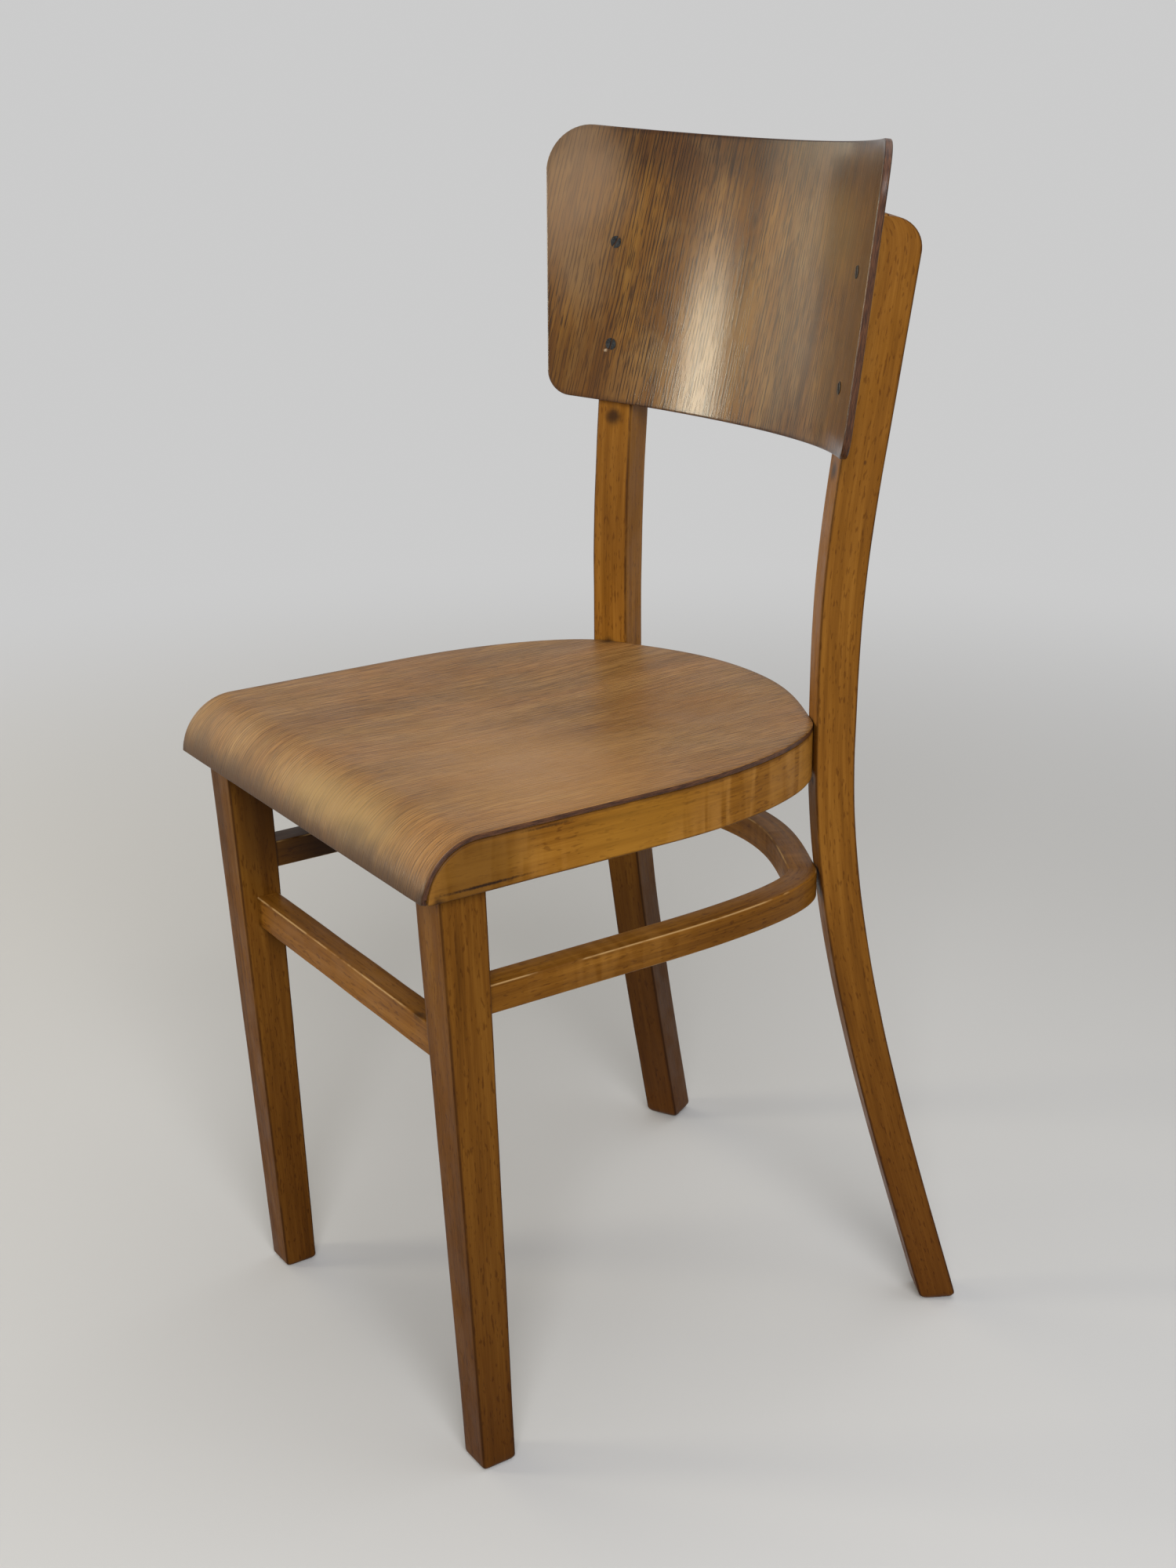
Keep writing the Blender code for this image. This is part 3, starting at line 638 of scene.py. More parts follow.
@dataclass(frozen=True)
class BeechFinish:
    """Old varnish on beech: streaks along the fibre, short ray flecks, dark specks and worn arrises."""

    name: str
    dark: Colour = (0.098, 0.034, 0.0036)
    middle: Colour = (0.205, 0.079, 0.0085)
    light: Colour = (0.300, 0.128, 0.0180)
    arris_look: ArrisLook = ArrisLook.DIRTY
    arris_strength: float = 0.75
    curl: float = 0.0
    specks: float = 0.7
    foot_height: float = 90.0 * MM
    foot_dark: float = 0.35
    # Marks laid over the colour: dirt, and also painted shade and painted highlights.
    dirt_and_painted_light: tuple[Speck, ...] = ()
    roughness: float = 0.40
    coat: float = 0.03
    specular: float = 0.09

    def material(self) -> bpy.types.Material:
        """Builds the material.

        Returns:
            A material that reads the pieces' grain and edge attributes.
        """
        g = Graph(self.name)
        edge_x, edge_y, seed = g.split(g.attribute(EDGE))
        away = g.join(g.math("MULTIPLY", seed, 1.31), g.math("MULTIPLY", seed, 0.173), seed)
        fibre = g.vector("ADD", g.attribute(GRAIN), away)
        broad = g.noise(fibre, (4.2, 46.0, 46.0), 3.0, 0.6, 0.5)
        streak = g.noise(fibre, (7.0, 300.0, 300.0), 3.0, 0.65, 0.2)
        fine = g.noise(fibre, (30.0, 1300.0, 1300.0), 2.0, 0.6)
        ray = g.noise(fibre, (135.0, 620.0, 620.0), 1.5, 0.5)
        tone = g.math("MULTIPLY_ADD", streak, 0.38, g.math("MULTIPLY", broad, 0.56))
        tone = g.math("MULTIPLY_ADD", fine, 0.16, tone)
        stops = ((0.36, self.dark), (MIDDLE_TONE, self.middle), (0.70, self.light))
        colour = g.ramp(tone, stops)
        flecks = g.ease(ray, 0.58, 0.69, (0.0, 0.62))
        colour = g.mix(flecks, colour, (0.45, 0.36, 0.28), "MULTIPLY")
        if self.curl:
            wave = g.noise(fibre, (78.0, 9.0, 14.0), 1.5, 0.5, 0.9)
            patch = g.ease(g.noise(fibre, (7.0, 9.0, 9.0), 0.0), 0.40, 0.62)
            band = g.math("MULTIPLY", g.ease(wave, 0.36, 0.64), patch)
            colour = g.mix(g.math("MULTIPLY", band, self.curl), colour, (0.60, 0.30, 0.075), "MIX")
        colour = self._marks(g, fibre, colour)
        colour = self._arrises(g, edge_x, edge_y, fibre, colour)
        _, _, height = g.split(g.place())
        # Darker toward the floor over foot_height; where this reaches up under the seat, as on the
        # posts, it is painted shade.
        foot = g.ease(height, 0.0, self.foot_height, (self.foot_dark, 0.0))
        colour = g.mix(foot, colour, (0.35, 0.25, 0.20), "MULTIPLY")
        wear = g.noise(fibre, (30.0, 55.0, 55.0), 3.0, 0.6)
        rough = g.ease(wear, 0.3, 0.7, (self.roughness - 0.08, self.roughness + 0.12))
        g.settle(Base_Color=colour, Roughness=rough, Specular_IOR_Level=self.specular)
        g.settle(Coat_Weight=self.coat, Coat_Roughness=0.2)
        relief = g.math("MULTIPLY_ADD", fine, 0.5, g.math("MULTIPLY", flecks, -0.6))
        relief = g.math("MULTIPLY_ADD", wear, 1.4, relief)
        g.bump(relief, 0.16 * MM, 0.55)
        return g.material

    def _marks(self, g: Graph, fibre: Socket, colour: Socket) -> Socket:
        """Lays small dark specks and the named patches of dirt, painted shade and painted highlight
        over the colour.
        """
        cells = g.node(
            "ShaderNodeTexVoronoi",
            {"Vector": g.stretch(fibre, (34.0, 62.0, 62.0)), "Scale": 1.0, "Randomness": 1.0},
        )
        chosen = g.ease(g.split(cells.outputs["Color"])[0], 0.70, 0.74)
        dot = g.ease(cells.outputs["Distance"], 0.03, 0.085, (self.specks, 0.0))
        colour = g.mix(g.math("MULTIPLY", dot, chosen), colour, (0.045, 0.016, 0.005))
        return lay_dirt_and_painted_light(g, colour, self.dirt_and_painted_light)

    def _arrises(
        self, g: Graph, edge_x: Socket, edge_y: Socket, fibre: Socket, colour: Socket
    ) -> Socket:
        """Draws the rounded edges darker or paler than the faces."""
        away = g.math("MAXIMUM", edge_x, edge_y)
        broken = g.noise(fibre, (24.0, 30.0, 30.0), 3.0, 0.65)
        if self.arris_look is ArrisLook.DIRTY:
            line = g.ease(away, 0.5 * MM, 2.0 * MM, (self.arris_strength, 0.0))
            share = g.math("MULTIPLY", line, g.ease(broken, 0.28, 0.52, (0.35, 1.0)))
            return g.mix(share, colour, (0.036, 0.012, 0.003))
        line = g.ease(away, 0.35 * MM, 1.25 * MM, (self.arris_strength, 0.0))
        share = g.math("MULTIPLY", line, g.ease(broken, 0.42, 0.56, (0.0, 1.0)))
        return g.mix(share, colour, (0.52, 0.33, 0.14))


@dataclass(frozen=True)
class VeneerFinish:
    """Open-grained veneer under thin varnish: dark pore lines, blotches and stained borders."""

    name: str
    dark: Colour
    middle: Colour
    light: Colour
    pitch: float = 3.6 * MM
    pore_strength: float = 0.7
    pore_colour: Colour = (0.030, 0.013, 0.005)
    blotch: float = 0.4
    blotch_colour: Colour = (0.30, 0.19, 0.075)
    stain: float = 0.6
    stain_from: float = 1.0e3
    stain_soft: float = 20.0 * MM
    border: float = 0.5
    # Marks laid over the colour: dirt, and also painted shade and painted highlights.
    dirt_and_painted_light: tuple[Speck, ...] = ()
    roughness: float = 0.42
    coat: float = 0.10
    specular: float = 0.36
    streaks: float = 330.0
    streak_share: float = 0.44
    spread: float = 0.15
    dash_rate: float = 44.0
    slant: float = 0.0
    relief: float = 0.10 * MM
    coat_roughness: float = 0.24

    def material(self) -> bpy.types.Material:
        """Builds the material.

        Returns:
            A material that reads the sheet's flat place, with the fibre along its first axis.
        """
        g = Graph(self.name)
        edge, _, seed = g.split(g.attribute(EDGE))
        along, over, _ = g.split(g.attribute(GRAIN))
        along = g.math("ADD", along, seed)
        flat = g.join(along, over, seed)
        drift = g.noise(flat, (5.0, 9.0, 1.0), 2.0, 0.5)
        over = g.math("MULTIPLY_ADD", drift, 12.0 * MM, over)
        over = g.math("MULTIPLY_ADD", along, -self.slant, over)
        flat = g.join(along, over, seed)
        broad = g.noise(flat, (4.0, 36.0, 1.0), 3.0, 0.6, 0.3)
        streak = g.noise(flat, (8.0, self.streaks, 1.0), 3.0, 0.65)
        fine = g.noise(flat, (40.0, 1500.0, 1.0), 2.0, 0.6)
        tone = g.math("MULTIPLY", broad, 0.86 - self.streak_share)
        tone = g.math("MULTIPLY_ADD", streak, self.streak_share, tone)
        tone = g.math("MULTIPLY_ADD", fine, 0.20, tone)
        low, high = MIDDLE_TONE - self.spread, MIDDLE_TONE + self.spread
        colour = g.ramp(tone, ((low, self.dark), (MIDDLE_TONE, self.middle), (high, self.light)))
        cloud = g.noise(flat, (11.0, 15.0, 1.0), 4.0, 0.62, 0.8)
        patch = g.ease(cloud, 0.46, 0.66, (0.0, self.blotch))
        colour = g.mix(patch, colour, self.blotch_colour)
        shade = g.ease(cloud, 0.26, 0.46, (self.blotch * 0.9, 0.0))
        colour = g.mix(shade, colour, (0.50, 0.42, 0.42), "MULTIPLY")
        blush = g.noise(flat, (7.0, 26.0, 1.0), 3.0, 0.6, 0.4)
        colour = g.mix(g.ease(blush, 0.42, 0.62, (0.0, 0.3)), colour, (1.05, 0.86, 0.76), "MULTIPLY")
        pores = self._pores(g, flat, over)
        colour = g.mix(g.math("MULTIPLY", pores, self.pore_strength), colour, self.pore_colour)
        colour = self._stains(g, edge, along, flat, seed, colour)
        rubbed = g.noise(flat, (24.0, 30.0, 1.0), 4.0, 0.6)
        rough = g.ease(rubbed, 0.3, 0.7, (self.roughness - 0.04, self.roughness + 0.05))
        g.settle(Base_Color=colour, Roughness=rough, Specular_IOR_Level=self.specular)
        g.settle(Coat_Weight=self.coat, Coat_Roughness=self.coat_roughness)
        height = g.math("MULTIPLY_ADD", pores, -1.0, g.math("MULTIPLY", fine, 0.35))
        height = g.math("MULTIPLY_ADD", streak, 0.7, height)
        g.bump(height, self.relief, 0.7)
        return g.material

    def _pores(self, g: Graph, flat: Socket, over: Socket) -> Socket:
        """Rows of short dark pores, one row for each growth ring, and finer ones between."""
        sway = g.noise(flat, (2.2, 60.0, 1.0), 2.0, 0.55)
        phase = g.math("MULTIPLY_ADD", sway, 2.2, g.math("DIVIDE", over, self.pitch))
        wave = g.math("ABSOLUTE", g.math("SUBTRACT", g.math("FRACT", phase), 0.5))
        row = g.ease(wave, 0.07, 0.20, (1.0, 0.0))
        along = self.dash_rate
        dash = g.ease(g.noise(flat, (along, 300.0, 1.0), 2.0, 0.6), 0.40, 0.53)
        small = g.ease(g.noise(flat, (along * 1.4, 1050.0, 1.0), 1.0), 0.55, 0.68)
        rows = g.math("MULTIPLY", row, dash)
        return g.math("MAXIMUM", rows, g.math("MULTIPLY", small, 0.8))

    def _stains(
        self, g: Graph, edge: Socket, along: Socket, flat: Socket, seed: Socket, colour: Socket
    ) -> Socket:
        """Darkens one end of the sheet and a narrow border all round."""
        ragged = g.noise(flat, (22.0, 34.0, 1.0), 4.0, 0.6)
        place = g.math("SUBTRACT", along, seed)
        place = g.math("MULTIPLY_ADD", ragged, self.stain_soft * 1.6, place)
        soft = self.stain_soft
        stain = g.ease(place, self.stain_from, self.stain_from + soft * 1.6, (0.0, self.stain))
        colour = g.mix(stain, colour, (0.28, 0.22, 0.22), "MULTIPLY")
        rim = g.math("MULTIPLY_ADD", ragged, -3.0 * MM, edge)
        line = g.ease(rim, -1.2 * MM, 3.2 * MM, (self.border, 0.0))
        colour = g.mix(line, colour, (0.25, 0.16, 0.13), "MULTIPLY")
        return lay_dirt_and_painted_light(g, colour, self.dirt_and_painted_light)


@dataclass(frozen=True)
class PlyEdgeFinish:
    """The cut edge of ply: thin layers, darkened by varnish and handling."""

    name: str = "ply_edge"
    layer: float = 0.95 * MM
    dark: Colour = (0.036, 0.012, 0.005)
    light: Colour = (0.135, 0.052, 0.020)

    def material(self) -> bpy.types.Material:
        """Builds the material, which reads the depth in the sheet."""
        g = Graph(self.name)
        place = g.attribute(GRAIN)
        along, over, depth = g.split(place)
        rough_depth = g.noise(place, (60.0, 60.0, 200.0), 2.0)
        phase = g.math("DIVIDE", g.math("MULTIPLY_ADD", rough_depth, 0.35 * MM, depth), self.layer)
        wave = g.math("ABSOLUTE", g.math("SUBTRACT", g.math("FRACT", phase), 0.5))
        glue = g.ease(wave, 0.05, 0.22, (1.0, 0.0))
        tone = g.noise(place, (110.0, 110.0, 900.0), 3.0, 0.6)
        colour = g.ramp(tone, ((0.35, self.dark), (0.68, self.light)))
        colour = g.mix(g.math("MULTIPLY", glue, 0.7), colour, (0.018, 0.007, 0.004))
        g.settle(Base_Color=colour, Roughness=0.36, Specular_IOR_Level=0.30)
        g.bump(g.math("MULTIPLY_ADD", glue, -0.8, tone), 0.15 * MM, 0.6)
        return g.material


@dataclass(frozen=True)
class SteelFinish:
    """Old screw steel, dark with oxide and a little bare metal on the high spots."""

    name: str = "oxidised_steel"
    dark: Colour = (0.009, 0.010, 0.012)
    bare: Colour = (0.060, 0.062, 0.064)

    def material(self) -> bpy.types.Material:
        """Builds the material on the chair's own coordinates."""
        g = Graph(self.name)
        grains = g.noise(g.place(), (900.0, 900.0, 900.0), 4.0, 0.65)
        broad = g.noise(g.place(), (260.0, 260.0, 260.0), 2.0)
        tone = g.math("MULTIPLY_ADD", grains, 0.6, g.math("MULTIPLY", broad, 0.4))
        colour = g.ramp(tone, ((0.40, self.dark), (0.66, self.bare)))
        rough = g.ease(tone, 0.3, 0.7, (0.62, 0.38))
        g.settle(Base_Color=colour, Roughness=rough, Metallic=0.85)
        g.bump(tone, 0.10 * MM, 0.7)
        return g.material


@dataclass
class Sheet:
    """A flat sheet of ply, cut into a fine net, that keeps its points' flat places when bent."""

    outline: list[Point]
    thickness: float
    round_over: float
    seed: float
    steps_x: Sequence[float]
    steps_y: Sequence[float]

    def flat(self) -> bmesh.types.BMesh:
        """The sheet lying flat, its face at z = 0 and its back below, with rounded borders."""
        work = bmesh.new()
        rim = [work.verts.new((x, y, 0.0)) for x, y in self.outline]
        face = work.faces.new(rim)
        grown = bmesh.ops.extrude_face_region(work, geom=[face])
        for item in grown["geom"]:
            if isinstance(item, bmesh.types.BMVert):
                item.co.z -= self.thickness
        bmesh.ops.recalc_face_normals(work, faces=work.faces)
        level = [e for e in work.edges if abs(e.verts[0].co.z - e.verts[1].co.z) < 1e-7]
        bmesh.ops.bevel(
            work,
            geom=level,
            offset=self.round_over,
            offset_type="OFFSET",
            segments=3,
            profile=0.5,
            affect="EDGES",
            clamp_overlap=True,
        )
        for normal, steps in ((Vector((1, 0, 0)), self.steps_x), (Vector((0, 1, 0)), self.steps_y)):
            for step in steps:
                bmesh.ops.bisect_plane(
                    work,
                    geom=work.verts[:] + work.edges[:] + work.faces[:],
                    dist=0.000001,
                    plane_co=normal * step,
                    plane_no=normal,
                )
        work.normal_update()
        return work

    def bent(
        self,
        name: str,
        grain: Callable[[np.ndarray], np.ndarray],
        bend: Callable[[np.ndarray], np.ndarray],
    ) -> bpy.types.Mesh:
        """Bends the sheet and marks its faces and borders.

        Args:
            name: Name of the mesh.
            grain: Turns flat points into grain coordinates, the fibre first.
            bend: Turns flat points into points of the chair's frame.

        Returns:
            The bent mesh. Faces on the border have material index 1.
        """
        work = self.flat()
        for face in work.faces:
            face.material_index = 1 if abs(face.normal.z) < 0.55 else 0
        mesh = bpy.data.meshes.new(name)
        work.to_mesh(mesh)
        work.free()
        flat = np.zeros(len(mesh.vertices) * 3)
        mesh.vertices.foreach_get("co", flat)
        flat = flat.reshape(-1, 3)
        store(mesh, GRAIN, grain(flat))
        gap = self._border_gap(flat[:, :2])
        store(mesh, EDGE, np.column_stack([gap, gap * 0.0, gap * 0.0 + self.seed]))
        mesh.vertices.foreach_set("co", bend(flat).astype(np.float32).ravel())
        face_out(mesh)
        return mesh

    def _border_gap(self, points: np.ndarray) -> np.ndarray:
        """Each point's distance from the sheet's outline."""
        start = np.array(self.outline)
        run = np.roll(start, -1, axis=0) - start
        length = np.maximum((run**2).sum(1), 1e-12)
        gap = np.full(len(points), 1e3)
        for corner, step, size in zip(start, run, length):
            share = np.clip(((points - corner) @ step) / size, 0.0, 1.0)
            gap = np.minimum(gap, np.linalg.norm(points - corner - share[:, None] * step, axis=1))
        return gap


@dataclass
class Seat:
    """The moulded ply seat, its bent rim and the rail inside the front roll."""

    line: PostLine
    height: float = 462.0 * MM
    half_width: float = 174.5 * MM
    depth: float = 375.4 * MM
    back_bulge: float = 39.1 * MM
    ply: float = 4.0 * MM
    roll_radius: float = 40.0 * MM
    rim_height: float = 34.0 * MM
    rim_width: float = 38.0 * MM
    ply_lip: float = 1.0 * MM
    gap: float = 0.3 * MM
    dish: float = 3.5 * MM
    dish_back: float = 8.0 * MM
    dish_over: float = 14.0 * MM
    dish_along: float = 6.0 * MM
    chip: float = 1.5 * MM
    chip_reach: float = 16.0 * MM
    chip_sides: Point = (1.0, 0.45)
    round_over: float = 0.9 * MM
    net_half_mm: float = 171.0
    net_over_mm: float = 5.7
    net_along: float = 5.6 * MM
    net_roll: float = 2.0 * MM
    end_clear: float = 0.5 * MM
    sheet_seed: float = 3.17
    rim_seed: float = 5.3
    rail_seed: float = 8.9

    @property
    def back(self) -> float:
        """The y of the seat's back."""
        return self.line.y + self.back_bulge

    @property
    def front(self) -> float:
        """The y of the seat's front."""
        return self.back - self.depth

    @property
    def rim_top(self) -> float:
        """The height of the rim's top, under the ply."""
        return self.height - self.ply - self.gap

    @property
    def rim_bottom(self) -> float:
        """The height of the rim's underside."""
        return self.rim_top - self.rim_height

    def plan(self, front: float) -> UPlan:
        """The seat's outline in plan, with its front ends at the given y."""
        middle = (self.rim_top + self.rim_bottom) / 2
        return UPlan(self.line, self.half_width, middle, self.back_bulge, front, self.front)

    def build(self, veneer: VeneerFinish, edge: bpy.types.Material, rim: BeechFinish) -> None:
        """Makes the ply and the rim.

        Args:
            veneer: Finish of the ply's faces.
            edge: Material of the ply's borders.
            rim: Finish of the bent rim.
        """
        add_piece("seat_sheet", self._sheet(), [veneer.material(), edge], ["seat_panel"])
        wood = rim.material()
        add_piece("seat_bent_rim", self._rim(), [wood], ["seat_rim"])
        add_piece("seat_front_rail", self._rail(), [wood], ["front_rail"])

    def _sheet(self) -> bpy.types.Mesh:
        """The ply, drawn flat from the back forward, then dished and rolled down at the front."""
        flat_length = self.depth - self.roll_radius
        low = self.rim_bottom + self.ply_lip - (self.height - self.roll_radius)
        turn = math.acos(max(-1.0, low / self.roll_radius))
        end = flat_length + self.roll_radius * turn
        right = self.plan(self.front + self.roll_radius).right_half(26)
        right = [(x, self.back - y) for x, y in right]
        outline = [(self.half_width, end)] + right
        outline += [(-x, s) for x, s in reversed(outline[:-1])]
        half = self.net_half_mm
        steps_x = np.arange(-half, half + 1.0, self.net_over_mm) * MM
        on_flat = np.arange(6.0 * MM, flat_length, self.net_along)
        on_roll = np.arange(flat_length, end - self.end_clear, self.net_roll)
        steps_y = np.concatenate([on_flat, on_roll])
        sheet = Sheet(
            outline, self.ply, self.round_over, self.sheet_seed, list(steps_x), list(steps_y)
        )
        return sheet.bent(
            "seat_sheet",
            lambda flat: flat[:, [1, 0, 2]],
            lambda flat: self._roll(self._chipped(flat, end), flat_length),
        )

    def _chipped(self, flat: np.ndarray, end: float) -> np.ndarray:
        """Breaks the two lower front corners of the sheet a little, the nearer one more."""
        moved = flat.copy()
        for side, strength in zip((1.0, -1.0), self.chip_sides):
            corner = np.array([side * self.half_width, end])
            reach = np.linalg.norm(flat[:, :2] - corner, axis=1)
            near = np.clip(1.0 - reach / self.chip_reach, 0.0, 1.0)
            for index in np.nonzero(near > 0.0)[0]:
                place = Vector(flat[index] * 420.0)
                rough = abs(noise.noise(place)) * 1.6
                inward = near[index] * rough * self.chip * strength
                moved[index, 0] -= side * inward
                moved[index, 1] -= inward * 0.8
                moved[index, 2] -= inward * 0.3 * noise.noise(place * 1.7)
        return moved

    def _roll(self, flat: np.ndarray, flat_length: float) -> np.ndarray:
        """Bends flat points over the front roll and presses the dish."""
        over, along, depth = flat.T
        angle = np.maximum(along - flat_length, 0.0) / self.roll_radius
        radius = self.roll_radius + depth
        y = np.where(
            angle > 0.0,
            self.front + self.roll_radius - radius * np.sin(angle),
            self.back - along,
        )
        z = self.height - self.roll_radius + radius * np.cos(angle)
        middle = (self.back + self.front) / 2 + self.dish_back
        reach_x = self.half_width - self.rim_width + self.dish_over
        reach_y = self.depth / 2 - self.rim_width + self.dish_along
        spread = (over / reach_x) ** 2 + ((y - middle) / reach_y) ** 2
        inside = np.clip(1.0 - spread, 0.0, 1.0)
        sunk = inside**2 * (3.0 - 2.0 * inside)
        return np.column_stack([over, y, z - self.dish * sunk])

    def _nose(self, low: float, steps: int) -> list[Point]:
        """The inside of the front roll from a height up to the rim's top, as (y, z)."""
        radius = self.roll_radius - self.ply - self.gap
        centre = (self.front + self.roll_radius, self.height - self.roll_radius)
        start = math.asin((low - centre[1]) / radius)
        turns = np.linspace(start, math.pi / 2, steps)
        return [(centre[0] - radius * math.cos(t), centre[1] + radius * math.sin(t)) for t in turns]

    def _rim(self) -> bpy.types.Mesh:
        """The bent rim, its front ends cut round to the inside of the roll."""
        path = self.plan(self.front + self.roll_radius + 1.0 * MM).whole(44)
        nose = self._nose(self.rim_bottom + self.end_clear, 22)
        stations = [(self.half_width, y, z) for y, z in nose]
        stations += [(x, y, self.rim_top) for x, y in path]
        stations += [(-self.half_width, y, z) for y, z in reversed(nose)]
        timber = Timber(seed=self.rim_seed, arris=1.2 * MM, waver=0.12 * MM)
        along = 0.0
        for index, (x, y, top) in enumerate(stations):
            before = stations[max(index - 1, 0)]
            after = stations[min(index + 1, len(stations) - 1)]
            way = Vector((after[0] - before[0], after[1] - before[1], 0.0)).normalized()
            inward = Vector((-way.y, way.x, 0.0))
            along += math.dist(before[:2], (x, y)) if index else 0.0
            tall = top - self.rim_bottom
            middle = Vector((x, y, self.rim_bottom + tall / 2)) + inward * self.rim_width / 2
            timber.ring(
                middle,
                inward,
                Vector((0.0, 0.0, 1.0)),
                (self.rim_width, tall),
                along,
                shift=(tall - self.rim_height) / 2,
            )
        return timber.mesh("seat_bent_rim")

    def _rail(self) -> bpy.types.Mesh:
        """The straight rail that fills the roll between the rim's two ends."""
        low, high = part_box("front_rail")
        face = [(y, z) for y, z in self._nose(self.rim_bottom, 14) if y < high.y]
        face += [(high.y, self.rim_top), (high.y, self.rim_bottom)]
        work = bmesh.new()
        ends = []
        for x in (low.x, high.x):
            ends.append([work.verts.new((x, y, z)) for y, z in face])
        work.faces.new(ends[0])
        work.faces.new(list(reversed(ends[1])))
        for index in range(len(face)):
            after = (index + 1) % len(face)
            work.faces.new((ends[0][index], ends[1][index], ends[1][after], ends[0][after]))
        bmesh.ops.recalc_face_normals(work, faces=work.faces)
        mesh = bpy.data.meshes.new("seat_front_rail")
        work.to_mesh(mesh)
        work.free()
        points = np.array([v.co for v in mesh.vertices])
        store(mesh, GRAIN, points)
        store(mesh, EDGE, np.tile((0.02, 0.02, self.rail_seed), (len(points), 1)))
        return mesh


@dataclass
class FrontLegs:
    """The two square legs, tapering and raked a little back toward the floor."""

    seat: Seat
    side_inset: float = 7.8 * MM
    front_inset: float = 16.0 * MM
    top: Point = (31.2 * MM, 32.8 * MM)
    foot: Point = (24.8 * MM, 25.0 * MM)
    foot_in: float = 5.3 * MM
    foot_back: float = 20.0 * MM
    foot_round: float = 4.5 * MM
    arris: float = 1.3 * MM

    @property
    def height(self) -> float:
        """The height of the legs' tops, under the rim."""
        return self.seat.rim_bottom - self.seat.gap

    def section(self, height: float) -> tuple[float, float, float, float]:
        """The inner x, outer x, front y and back y of the right leg at a height."""
        share = height / self.height
        outer = self.seat.half_width - self.side_inset - self.foot_in * (1.0 - share)
        front = self.seat.front + self.front_inset + self.foot_back * (1.0 - share)
        width = self.foot[0] + (self.top[0] - self.foot[0]) * share
        depth = self.foot[1] + (self.top[1] - self.foot[1]) * share
        return outer - width, outer, front, front + depth

    def build(self, finish: BeechFinish) -> None:
        """Makes both legs in the given finish."""
        wood = finish.material()
        for side in Side:
            name = f"front_leg_{side.word}"
            add_piece(f"tapered_leg_{side.word}", self._leg(side), [wood], [name])

    def _leg(self, side: Side) -> bpy.types.Mesh:
        """One leg, with its foot worn round."""
        timber = Timber(seed=2.1 + side.value * 0.7, arris=self.arris)
        for z, inset in worn_foot(self.foot_round, self.height, 70):
            inner, outer, front, back = self.section(z)
            middle = Vector((side.value * (inner + outer) / 2, (front + back) / 2, z))
            size = (outer - inner, back - front)
            timber.ring(middle, Vector((1, 0, 0)), Vector((0, 1, 0)), size, z, inset)
        return timber.mesh(f"tapered_leg_{side.word}")


@dataclass
class Stretchers:
    """The bent hoop, carried along its path by a node tree, and the straight front stretcher."""

    seat: Seat
    legs: FrontLegs
    hoop_top: float = 353.8 * MM
    hoop_size: float = 20.0 * MM
    hoop_half_width: float = 159.5 * MM
    hoop_bulge: float = 46.3 * MM
    arris: float = 1.5 * MM
    bar_top: float = 316.1 * MM
    bar_height: float = 22.8 * MM
    bar_thickness: float = 17.0 * MM
    bar_setback: float = 10.8 * MM
    hoop_seed: float = 7.7
    bar_seed: float = 11.4

    def build(self, hoop: BeechFinish, bar: BeechFinish) -> None:
        """Makes both stretchers.

        Args:
            hoop: Finish of the bent hoop.
            bar: Finish of the straight stretcher.
        """
        add_piece("bent_hoop", self._hoop(hoop.material()), [], ["hoop_stretcher"])
        add_piece("front_bar", self._bar(), [bar.material()], ["front_stretcher"])

    def _hoop(self, wood: bpy.types.Material) -> bpy.types.Mesh:
        """The hoop's mesh, from its centre line and the rail tree."""
        end = max(
            self.legs.section(self.hoop_top)[3],
            self.legs.section(self.hoop_top - self.hoop_size)[3],
        )
        plan = UPlan(
            self.seat.line,
            self.hoop_half_width,
            self.hoop_top,
            self.hoop_bulge,
            end + self.seat.gap,
            self.seat.front,
        )
        outer = [Vector((x, y, 0.0)) for x, y in plan.whole(40)]
        centre = []
        for index, point in enumerate(outer):
            way = outer[min(index + 1, len(outer) - 1)] - outer[max(index - 1, 0)]
            inward = Vector((-way.y, way.x, 0.0)).normalized()
            centre.append(point + inward * self.hoop_size / 2)
        height = self.hoop_top - self.hoop_size / 2
        curve = bpy.data.curves.new("hoop_line", "CURVE")
        curve.dimensions = "3D"
        spline = curve.splines.new("POLY")
        spline.points.add(len(centre) - 1)
        for knot, point in zip(spline.points, centre):
            knot.co = (point.x, point.y, height, 1.0)
        inputs = {
            "Width": self.hoop_size,
            "Height": self.hoop_size,
            "Arris": self.arris,
            "Seed": self.hoop_seed,
            "Material": wood,
        }
        return grown_mesh("bent_hoop", curve, rail_tree(), inputs)

    def _bar(self) -> bpy.types.Mesh:
        """The straight stretcher between the legs, its ends cut to their slant."""
        level = self.bar_top - self.bar_height / 2
        front = self.legs.section(level)[2] + self.bar_setback
        lean = self.legs.section(self.bar_top)[0] - self.legs.section(level)[0]
        half = self.legs.section(level)[0] - self.seat.gap
        middle_y = front + self.bar_thickness / 2
        timber = Timber(seed=self.bar_seed, arris=1.2 * MM)
        for x in np.linspace(-half, half, 60):
            slant = Vector((x / half * lean / (self.bar_height / 2), 0.0, 1.0))
            middle = Vector((x, middle_y, level))
            size = (self.bar_thickness, self.bar_height)
            timber.ring(middle, Vector((0, 1, 0)), slant, size, float(x))
        return timber.mesh("front_bar")


